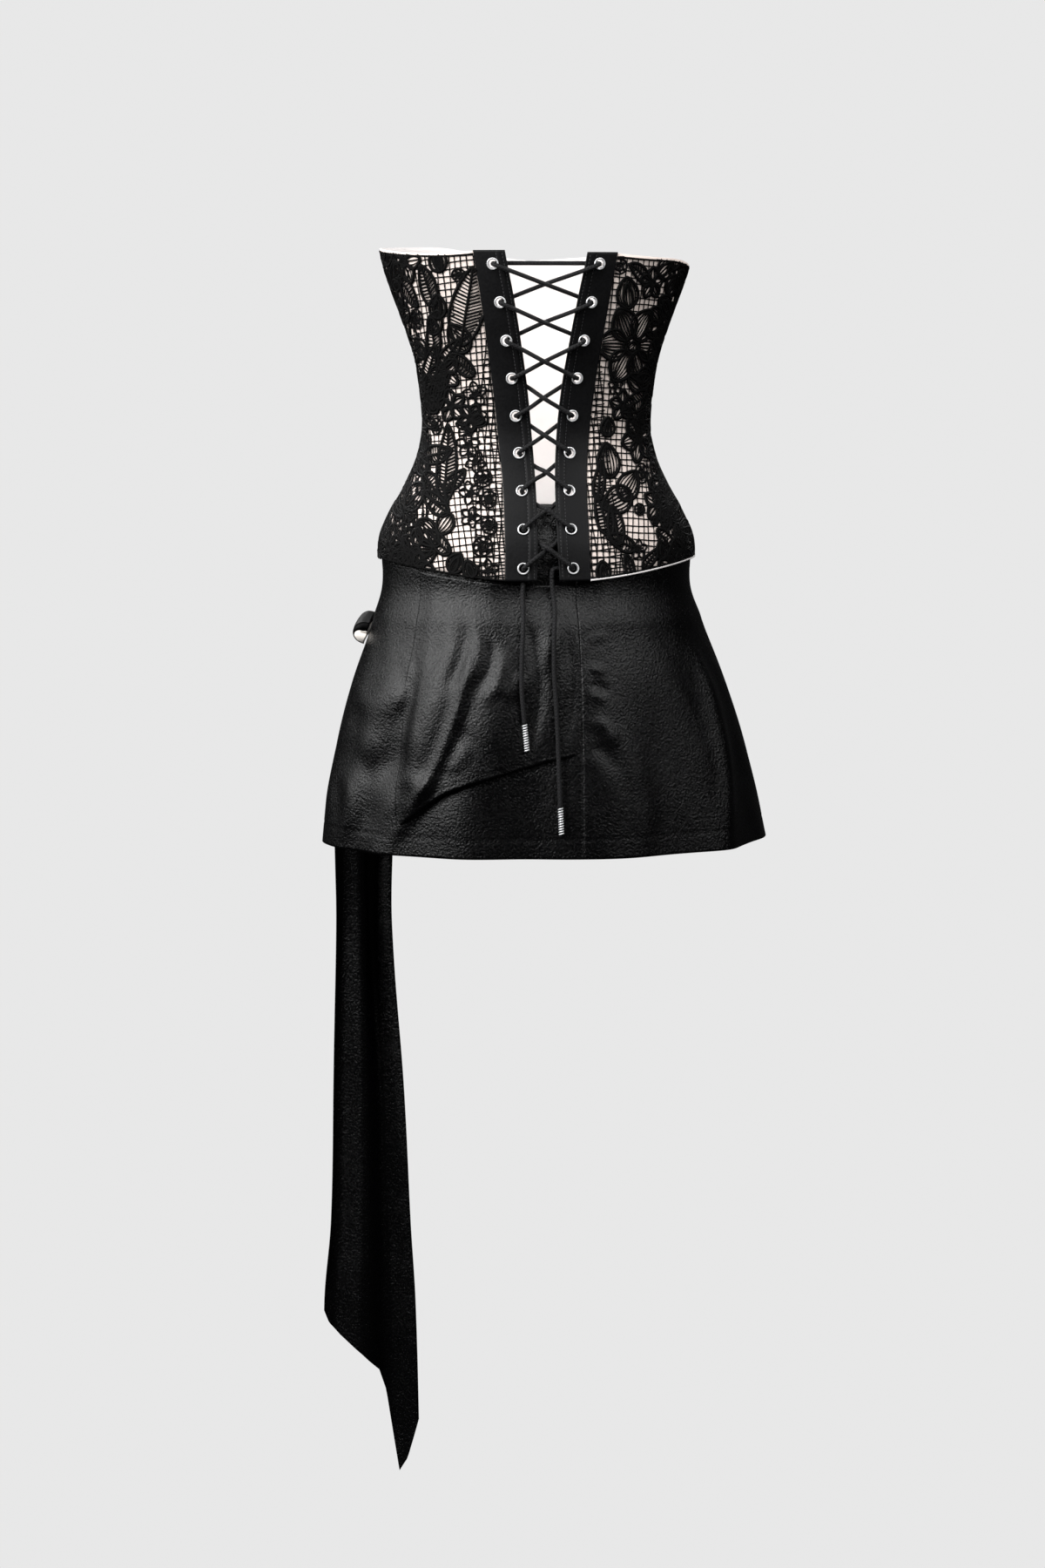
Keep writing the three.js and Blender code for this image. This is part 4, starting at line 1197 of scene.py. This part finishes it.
def outside(outlines, places):
    """Whether places lie in none of the petals. Each petal is taken as the oval of its outline's spread, and
    a place's distance is measured in that spread, by the inverse of its covariance."""
    middles = outlines.mean(axis=1)
    spread = outlines - middles[:, None]
    shape = np.linalg.inv(np.einsum("nki,nkj->nij", spread, spread) / outlines.shape[1])
    bare = np.ones(places.shape[:2], bool)
    for middle, inverse in zip(middles, shape):
        off = places - middle
        bare &= np.einsum("lsi,ij,lsj->ls", off, inverse, off) > NET_LEFT_OUT
    return bare


def lace_threads(part, hand, sets, low, high, tilt, rng):
    """All the threads of a lace piece: the net, the close darning, the fillings and the heavy outlines."""
    groups = []
    whole = together(*[placed(PATTERNS[name](size), s, z, angle) for name, s, z, size, angle in sets])
    for lines in net_lines(low, high, tilt, rng):
        bare = outside(whole["outline"], (lines[:, 1:] + lines[:, :-1]) / 2)
        groups.append(lay_threads(part, lines, NET_WIDE, NET_HIGH, LACE_OUT + NET_HIGH, bare))
    groups.append(close_darning(part, hand, low, high, rng))
    for key, wide, thick, out in THREAD_KINDS:
        lines = whole[key]
        uneven = rng.uniform(*UNEVEN, len(lines)) if key == "rungs" else 1.0
        groups.append(lay_threads(part, lines, wide * uneven, thick, LACE_OUT + out))
    return groups


EDGE_STEPS, EDGE_INSIDE, EDGE_WIDE, EDGE_HIGH, EDGE_OUT, EDGE_ROUNDS = 130, 0.9, 1.0, 0.6, 0.7, 4


def edge_threads(part, s_limits):
    """Corded edges along the neckline and the hem. Their heights depend on the turn, which depends on the
    height, so both are worked out by turns."""
    s = np.linspace(*s_limits, EDGE_STEPS)
    groups = []
    for edge, inward, first_z in ((neckline, -1, 180.0), (bodice_hem, 1, -140.0)):
        z = np.full(s.shape, first_z)
        for _ in range(EDGE_ROUNDS):
            turn = lace_place(part, s, z)
            covered = (inward > 0) & ((turn < 0) | (turn > math.pi))
            z = edge(turn) + inward * (np.where(covered, HEM_COVERED, LACE_SHORT) + EDGE_INSIDE)
        line = np.stack([s, z], -1)[None]
        groups.append(lay_threads(part, line, EDGE_WIDE, EDGE_HIGH, LACE_OUT + EDGE_OUT))
    return groups


def lace_look(s):
    """Matt thread: fine fibres in its shade."""
    place = s.node("TexCoord", (), (), out=3)
    fibre = s.node("TexNoise", (), {"Vector": place, "Scale": 1400.0, "Detail": 2.0})
    return {
        "Base Color": fibre.blend((0.0006, 0.0006, 0.0007), (0.005, 0.0048, 0.0048)),
        "Roughness": fibre * 0.2 + 0.6,
        "height": fibre * 0.00012,
    }


LACE_LOOK = make_look("lace_thread", "lace", lace_look, Specular_IOR_Level=0.08)
# The lining it lies on, part, hand, set places, the box laid flat, and the tilt of the net in degrees.
LACE_PIECES = (
    ("back_left", "back", "left", SET_LEFT, (-235, -156), (-40, 200), 6),
    ("back_right", "back", "right", SET_RIGHT, (40, -156), (235, 200), -4),
    ("front", "front", "left", (), (-260, -152), (0, 200), 3),
    ("front", "front", "right", (), (0, -152), (260, 200), -3),
)
SPACING = {"back": 19, "front": 27}  # least way between scattered patterns
FIRST_SEED = 40
for seed, (where, part, hand, sets, low, high, tilt) in enumerate(LACE_PIECES):
    rng = np.random.default_rng(FIRST_SEED + seed)
    sets = [*laid_flat(sets, hand), *scattered(part, hand, low, high, rng, SPACING[part])]
    groups = lace_threads(part, hand, sets, low, high, tilt, rng)
    groups += edge_threads(part, (low[0] + 0.1, high[0] - 0.1))
    piece = dress_in(join_threads(f"lace_{part}_{hand}", groups), LACE_LOOK)
    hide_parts(f"lace_{where}")
    laid_on[where].append(piece)

# Skirt: black satin, cut as a left back, a right back and a front, with a seam right of the centre back
# and one at each side. Small creases, pulled from the seams, lie over its large folds.
CENTRE_SEAM = 32
SKIRT_LAP = SEAM / 96  # the pieces lap a little at their seams, as an angle
SKIRT_ROWS = 140

# Creases behind: where each starts and ends as x and z, its width, and how far out it stands.
CREASES_BACK = (
    (-74, -168, -168, -428, 6.5, 2.8),
    (-80, -184, -104, -262, 7, -3.0),
    (-141, -236, -158, -290, 6, 1.6),
    (-146, -262, -200, -286, 17, 3.0),
    (-136, -328, -206, -350, 17, -3.0),
    (-45, -226, -64, -274, 6, 2.0),
    (-58, -214, -72, -262, 5, -1.6),
    (-70, -206, -82, -258, 5, 1.7),
    (-28, -246, -52, -270, 9, 1.6),
    (-96, -300, -60, -352, 9, -1.2),
    (-150, -392, -112, -352, 9, 1.5),
    (-84, -318, -104, -346, 7, 1.3),
    (-150, -352, -120, -372, 10, 1.2),
    (0, -160, -8, -246, 9, 2.4),
    (-20, -190, -26, -330, 7, -2.6),
    (16, -200, 8, -330, 7, -2.0),
    (42, -240, 58, -246, 4.5, 1.3),
    (42, -256, 60, -266, 5, -1.3),
    (43, -268, 56, -274, 4.5, 1.2),
    (46, -292, 68, -320, 7, 2.0),
    (44, -318, 70, -346, 8, -1.4),
    (38, -214, 62, -208, 5, 0.9),
    (60, -176, 120, -206, 9, 1.0),
    (158, -226, 194, -424, 6, 2.2),
    (146, -250, 178, -400, 9, -1.4),
    (84, -330, 100, -425, 10, 1.2),
    (-206, -360, -214, -428, 7, 1.8),
    (-188, -340, -196, -425, 8, -1.2),
)
CREASES_FRONT = (
    (-60, -178, -78, -300, 10, 2.0),
    (-20, -190, -26, -330, 12, -2.0),
    (24, -176, 40, -300, 11, 1.8),
    (72, -184, 96, -330, 12, -2.0),
    (120, -200, 140, -380, 10, 1.8),
    (-150, -196, -120, -250, 8, 1.6),
    (-150, -214, -110, -226, 7, -1.5),
    (-146, -204, -104, -196, 6, 1.5),
    (-40, -320, -52, -425, 10, 1.6),
    (60, -320, 66, -425, 10, -1.5),
)
CREASE_BOW = 0.08  # how far a crease is bowed, as a share of its length
SWELL, SWELL_AWAY = 0.18, 1.9  # height and distance of its swells, as shares of its height and width


def crease_relief(creases, points):
    """The sum of the creases on one half of the body: a soft ridge or trough along each line, which is bowed
    a little, rises and fades along its length, and has a smaller opposite swell on both sides."""
    x, z = points[..., 0], points[..., 2]
    total = np.zeros(x.shape)
    for x0, z0, x1, z1, wide, out in creases:
        along_x, along_z = x1 - x0, z1 - z0
        length = math.hypot(along_x, along_z)
        share = ((x - x0) * along_x + (z - z0) * along_z) / length**2
        bow = CREASE_BOW * length * np.sin(math.pi * np.clip(share, 0, 1))
        off = ((x - x0) * along_z - (z - z0) * along_x) / length + bow
        fade = smooth((share + 0.15) / 0.4) * smooth((1.15 - share) / 0.5)
        swells = SWELL * bell(np.abs(off) - SWELL_AWAY * wide, wide)
        total += out * fade * (bell(off, wide) - swells)
    return total


CREASES_TOP = -165
PUCKER_OUT, PUCKERS_END = 0.3, -320
EASE_DEEP, EASE_Z, EASE_WIDE = 2.2, -206, 34
SEAM_DEEP, SEAM_WIDE, SEAM_DIP_END = 0.4, 2.0, -330
HEM_DEEP, HEM_WIDE, HEM_TURNED_UP = 0.3, 1.3, 20
WAVER_OUT = 0.35


def skirt_relief(turn, z, points):
    """Creases, puckers along the back seam, a broad dip over the hips, the pressed hem and a slow waver."""
    behind = smooth(np.cos(turn) / 0.3)
    before = smooth(-np.cos(turn) / 0.3)
    creases = behind * crease_relief(CREASES_BACK, points) + before * crease_relief(CREASES_FRONT, points)
    seam_off = points[..., 0] - CENTRE_SEAM
    puckers = PUCKER_OUT * np.sin(z / 5.3 + 1.9 * np.sin(z / 17)) * bell(seam_off - 5, 6) * behind
    puckers *= smooth((CREASES_TOP - z) / 20) * smooth((z - PUCKERS_END) / 60) * smooth(seam_off / 2)
    ease = -EASE_DEEP * bell(z - EASE_Z, EASE_WIDE)
    seam_dip = -SEAM_DEEP * bell(seam_off, SEAM_WIDE) * behind * smooth((z - SEAM_DIP_END) / 90)
    hem = -HEM_DEEP * bell(z - (SKIRT_HEM + HEM_TURNED_UP), HEM_WIDE)
    waver = WAVER_OUT * np.sin(np.degrees(turn) / 3.1 + z / 23) * np.sin(z / 31 + np.degrees(turn) / 17)
    free = smooth((CREASES_TOP - z) / 60)
    return free * creases + ease + puckers + seam_dip + hem + free * waver


def skirt_skin(turn, z, off=0.0):
    """The skirt's outer face with its creases."""
    base = skirt_face(turn, z)
    return on_face(skirt_face, turn, z, off + skirt_relief(turn, z, base))


def skirt_grid(from_turn, to_turn, columns, rows):
    """Turns and heights of a skirt piece from its top to its hem."""
    share = np.linspace(0, 1, columns)[None, :]
    z = np.linspace(SKIRT_TOP, SKIRT_HEM, rows)[:, None] + 0 * share
    return mix(from_turn(z), to_turn(z), share), z


def centre_turn(z):
    """Turn of the seam right of the centre back."""
    return skirt_turn(CENTRE_SEAM, z)


SATIN_LOOK = make_look(
    "black_satin",
    "satin",
    satin_look((0.0002, 0.0002, 0.00025), (0.0012, 0.0012, 0.0014), 0.27, 0.00095),
    Specular_IOR_Level=0.28,
)
# The two edges of each piece, and its columns.
SKIRT_PIECES = {
    "skirt_back_left": (upright(-QUARTER - SKIRT_LAP), lambda z: centre_turn(z) + SKIRT_LAP, 120),
    "skirt_back_right": (lambda z: centre_turn(z) - SKIRT_LAP, upright(QUARTER + SKIRT_LAP), 90),
    "skirt_front": (upright(QUARTER - SKIRT_LAP), upright(3 * QUARTER + SKIRT_LAP), 150),
}
for name, (from_turn, to_turn, columns) in SKIRT_PIECES.items():
    turn, z = skirt_grid(from_turn, to_turn, columns, SKIRT_ROWS)
    skin = skirt_skin(turn, z)
    piece = dress_in(shell(name, skin, skirt_skin(turn, z, -SATIN)), SATIN_LOOK)
    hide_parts(name)

# Overlay: a second layer of the satin on the left of the back, sewn in at the bodice's hem and at the
# back seam, with a free lower edge that falls to a pointed corner.
OVERLAY_TOP_DROP = 3
OVERLAY_LEFT_TOP, OVERLAY_LEFT_LOW = -52, -44
OVERLAY_ROUND = 8
# How near its two sides lie to the skirt, how soon it lifts off, and how thin its pressed sides are.
OVERLAY_CLOSE, OVERLAY_EASE, OVERLAY_THIN = 0.1, 0.14, 0.25
OVERLAY_X = (-168, -118, -82, -46, 0, 31)
OVERLAY_Z = (-407, -372, -357, -346, -334, -328)
OVERLAY_COLUMNS, OVERLAY_ROWS = 120, 110
# The lower edge is rounded, and stitched a little above: depth and width as a share of the way down.
EDGE_ROUND, EDGE_ROUND_WIDE = 0.4, 0.006
EDGE_STITCH, EDGE_STITCH_UP, EDGE_STITCH_WIDE = 0.35, 0.03, 0.004


def overlay_grid(share, down):
    """Turns and heights of the overlay, from the bodice's hem to its own lower edge."""
    bottom = rounded_line(mix(OVERLAY_X[0], CENTRE_SEAM, share), OVERLAY_X, OVERLAY_Z, OVERLAY_ROUND)
    top_turn = mix(math.radians(OVERLAY_LEFT_TOP), centre_turn(np.float64(HEM_SIDE)), share)
    z = mix(bodice_hem(top_turn) - OVERLAY_TOP_DROP, bottom, down)
    left = np.radians(mix(OVERLAY_LEFT_TOP, OVERLAY_LEFT_LOW, down))
    return mix(left, centre_turn(z), share), z


share = np.linspace(0, 1, OVERLAY_COLUMNS)[None, :]
down = np.linspace(0, 1, OVERLAY_ROWS)[:, None]
turn, z = overlay_grid(share, down)
edge = -EDGE_ROUND * bell(1 - down, EDGE_ROUND_WIDE)
edge -= EDGE_STITCH * bell((1 - down) - EDGE_STITCH_UP, EDGE_STITCH_WIDE)
lifted = smooth(np.minimum(share, 1 - share) / OVERLAY_EASE)
off = OVERLAY_CLOSE + (overlay_off(turn, z) - OVERLAY_CLOSE) * lifted
skin = skirt_skin(turn, z, off + SATIN * mix(OVERLAY_THIN, 1, lifted) + edge)
piece = dress_in(shell("skirt_overlay", skin, skirt_skin(turn, z, off)), SATIN_LOOK)
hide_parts("skirt_overlay")

# Sash: one long strip of the satin, gathered at the left hip. It lies on the skirt's front as far as the
# hem and then hangs free to an end that is cut on a slant.
SASH_TOP, SASH_TURN, SASH_TOP_WIDE = -212, -128, 30
SASH = table(
    (-435, -183, 104, 58, 38),
    (-586, -180.5, 106, 65.5, 26),
    (-724, -177, 104, 76.6, 14),
    (-884, -175.5, 102, 88, 8),
    (-975, -177, 100, 101, 6),
    (-1180, -176, 98, 108, 4),
    keys=("z", "x", "y", "wide", "slant"),
)
SASH_END_ACROSS = (0, 0.06, 0.18, 0.4, 0.6, 0.68, 0.75, 0.8, 0.88, 1)
SASH_END_Z = (-985, -1000, -1014, -1034, -1056, -1082, -1136, -1176, -1160, -1112)
SASH_COLUMNS, SASH_ROWS, LEVEL_ROWS = 56, 260, 80
SASH_SEAMS, SASH_SEAM_DEEP, SASH_SEAM_WIDE = (0.1, 0.93), 0.35, 0.008
PLEAT_WAVES, PLEAT_START, PLEAT_OUT, PLEAT_GATHERED, PLEAT_OVER = 1.6, 0.6, 9, 0.35, 160
SASH_WRAP, SASH_DROP, SASH_OFF = 165, 130, 0.6
SASH_HEM = SASH["z"][0]


def sash_wave(across, z):
    """Pleats across the sash: a sine wave that opens out below the gathers."""
    opened = mix(PLEAT_GATHERED, 1, smooth((SASH_TOP - z) / PLEAT_OVER))
    return PLEAT_OUT * opened * np.sin(2 * math.pi * PLEAT_WAVES * across + PLEAT_START)


def sash_on_skirt(across, z, out):
    """Where the sash lies over the skirt's front."""
    wide = mix(SASH_TOP_WIDE, SASH["wide"][0], smooth((SASH_TOP - z) / (SASH_TOP - SASH_HEM)))
    turn = math.radians(SASH_TURN) - (across - 0.5) * wide / SASH_WRAP
    lowest = (1.5 - PLEAT_START / math.pi) / (2 * PLEAT_WAVES)
    return on_face(skirt_face, turn, z, SASH_OFF - sash_wave(lowest, z) + sash_wave(across, z) + out)


def sash_points(across, z, out):
    """The sash's points: on the skirt, and below its hem a slanted line across with the same pleats."""
    across, z, out = np.broadcast_arrays(across, z, out)
    below = np.minimum(z, SASH_HEM)
    slant = np.radians(along(SASH, "slant", below))
    off = (across - 0.5) * along(SASH, "wide", below)
    wave = sash_wave(across, z) + out
    free = np.stack([
        along(SASH, "x", below) + off * np.cos(slant) - wave * np.sin(slant),
        along(SASH, "y", below) + off * np.sin(slant) + wave * np.cos(slant),
        z,
    ], -1)
    lying = sash_on_skirt(across, np.maximum(z, SASH_HEM), out)
    lying[..., 2] = z
    return mix(lying, free, smooth((SASH_HEM - z) / SASH_DROP)[..., None])


across = np.linspace(0, 1, SASH_COLUMNS)[None, :]
down = np.linspace(0, 1, SASH_ROWS)[:, None]
z = mix(SASH_TOP, np.interp(across, SASH_END_ACROSS, SASH_END_Z), down)
waver = 0.6 * np.sin(z / 41 + across * 5) + 0.5 * np.sin(z / 17 + across * 9) * smooth((z + 600) / 300)
sewn = sum(bell(across - seam, SASH_SEAM_WIDE) for seam in SASH_SEAMS)
skin = sash_points(across, z, SATIN + waver - SASH_SEAM_DEEP * sewn)
piece = dress_in(shell("sash", skin[:, ::-1], sash_points(across, z, waver)[:, ::-1]), SATIN_LOOK)
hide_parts("sash")
level = sash_points(across, np.linspace(SASH_TOP, SASH_END_Z[0], LEVEL_ROWS)[:, None], SATIN)

# Bow loop: a short doubled band at the left hip. Its upper half is folded over, and below the fold its
# pale facing shows.
BOW_TURN, BOW_Z, BOW_HIGH, BOW_RISE, BOW_OUT, BOW_WIDE, BOW_BLUNT = -92, -211, 11, 10, 15, 22, 0.8
BOW_RADIUS = 115
BOW_CLOTH, BOW_LEAST, BOW_FOLD, BOW_FULL = 0.8, 0.2, 9.0, 10.4  # how deep band, fold and facing reach
FOLD_START, FOLD_OVER = 0.25, 0.45
BOW_ROWS, BOW_COLUMNS = 44, 22


def bow_points(along_loop, forward, thin):
    """A band whose side view is a blunt half oval, carried round the hip by its width."""
    angle = math.pi * (along_loop - 0.5)
    z = BOW_Z + BOW_RISE * (forward - 0.5) - (BOW_HIGH - thin) * np.sin(angle)
    turn = math.radians(BOW_TURN) - BOW_WIDE * forward / BOW_RADIUS
    out = SEAM + (BOW_OUT - thin) * np.maximum(np.cos(angle), 0) ** BOW_BLUNT
    return on_face(skirt_face, turn + 0 * z, z, out)


def facing_look(s):
    """Pale facing cloth with a faint cloudy tint."""
    place = s.node("TexCoord", (), (), out=3)
    cloud = s.node("TexNoise", (), {"Vector": place, "Scale": 60.0, "Detail": 3.0})
    shade = cloud.blend((0.86, 0.80, 0.74), (0.93, 0.88, 0.83))
    return {"Base Color": shade, "Roughness": cloud * 0.1 + 0.7}


FACING_LOOK = make_look("pale_facing", "lining", facing_look)
BOW_LOOK = make_look(
    "black_bow_satin",
    "satin",
    satin_look((0.0004, 0.0004, 0.0005), (0.002, 0.002, 0.0022), 0.6, 0.0003),
    Specular_IOR_Level=0.08,
)
loop = np.linspace(0, 1, BOW_ROWS)[:, None]
forward = np.linspace(0, 1, BOW_COLUMNS)[None, :]
folded = mix(BOW_FOLD, BOW_CLOTH + BOW_LEAST, smooth((loop - FOLD_START) / FOLD_OVER))
depths = (0.0, BOW_CLOTH, folded, np.maximum(folded, BOW_FULL))
band, under, fold, facing = (bow_points(loop, forward, depth)[:, ::-1] for depth in depths)
piece = dress_in(shell("sash_bow_loop", band, under), BOW_LOOK)
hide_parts("sash_bow_loop")
inside = [
    dress_in(shell("sash_bow_fold", under, fold), BOW_LOOK),
    dress_in(shell("sash_bow_facing", fold, facing), FACING_LOOK),
]

# Floor, backdrop and light: one even pale grey all round. Three soft lights stand on the left, of which
# the key is by far the strongest, a fill stands on the right, two light the dress's front for the other
# views, and a small one hangs inside the bodice, behind the lacing.
FLOOR_Z, FLOOR_RADIUS, DOME_RADIUS = -1200, 9, 10  # millimetres, and metres for both radii
PALE = (0.806, 0.806, 0.806)
ROOM_LIGHT = 0.02


def backdrop_material():
    """An even pale grey that takes no shadow."""
    material = bpy.data.materials.new("pale_backdrop")
    material.use_nodes = True
    tree = material.node_tree
    glow = tree.nodes.new("ShaderNodeEmission")
    glow.inputs["Color"].default_value = (*PALE, 1)
    tree.links.new(glow.outputs[0], tree.nodes["Material Output"].inputs["Surface"])
    return material


BACKDROP = backdrop_material()
floor_mesh = bmesh.new()
bmesh.ops.create_circle(floor_mesh, cap_ends=True, segments=96, radius=FLOOR_RADIUS)
bmesh.ops.translate(floor_mesh, verts=floor_mesh.verts, vec=(0, 0, FLOOR_Z * MM))
dome_mesh = bmesh.new()
bmesh.ops.create_uvsphere(dome_mesh, u_segments=64, v_segments=32, radius=DOME_RADIUS)
bmesh.ops.reverse_faces(dome_mesh, faces=dome_mesh.faces)
for name, shape in (("floor", floor_mesh), ("backdrop", dome_mesh)):
    mesh = bpy.data.meshes.new(name)
    shape.to_mesh(mesh)
    shape.free()
    mesh.materials.append(BACKDROP)
    stand = bpy.data.objects.new(name, mesh)
    bpy.context.scene.collection.objects.link(stand)
    for kind in ("diffuse", "glossy", "transmission", "shadow"):
        setattr(stand, f"visible_{kind}", False)

# Name, place, what it points at, width, height, and power in watts.
LIGHTS = (
    ("key", (-2700, -1800, 1700), (0, 0, -150), 2.4, 2.4, 200),
    ("left", (-3300, 600, 1100), (0, 0, -300), 1.8, 1.8, 42),
    ("high", (-500, -1800, 3300), (0, 0, -80), 1.6, 1.2, 70),
    ("fill", (2300, -2500, 2200), (0, 0, -150), 2.0, 2.0, 78),
    ("front_left", (-1500, 2800, 2300), (0, 0, -100), 1.8, 1.4, 110),
    ("front_right", (1500, 2800, 2300), (0, 0, -100), 1.4, 1.4, 60),
    ("inside", (0, -60, -70), (0, 100, -70), 0.1, 0.2, 0.25),
)
for name, place, aim, wide, high, power in LIGHTS:
    light = bpy.data.lights.new(name, "AREA")
    light.shape = "RECTANGLE"
    light.size = wide
    light.size_y = high
    light.energy = power
    lamp = bpy.data.objects.new(name, light)
    lamp.location = Vector(place) * MM
    lamp.rotation_euler = (Vector(aim) - Vector(place)).to_track_quat("-Z", "Y").to_euler()
    lamp.visible_camera = False
    bpy.context.scene.collection.objects.link(lamp)

world = bpy.data.worlds.new("soft_room")
world.use_nodes = True
room = world.node_tree.nodes["Background"].inputs
room["Color"].default_value = (1, 1, 1, 1)
room["Strength"].default_value = ROOM_LIGHT
bpy.context.scene.world = world
bpy.context.scene.view_settings.view_transform = "Standard"
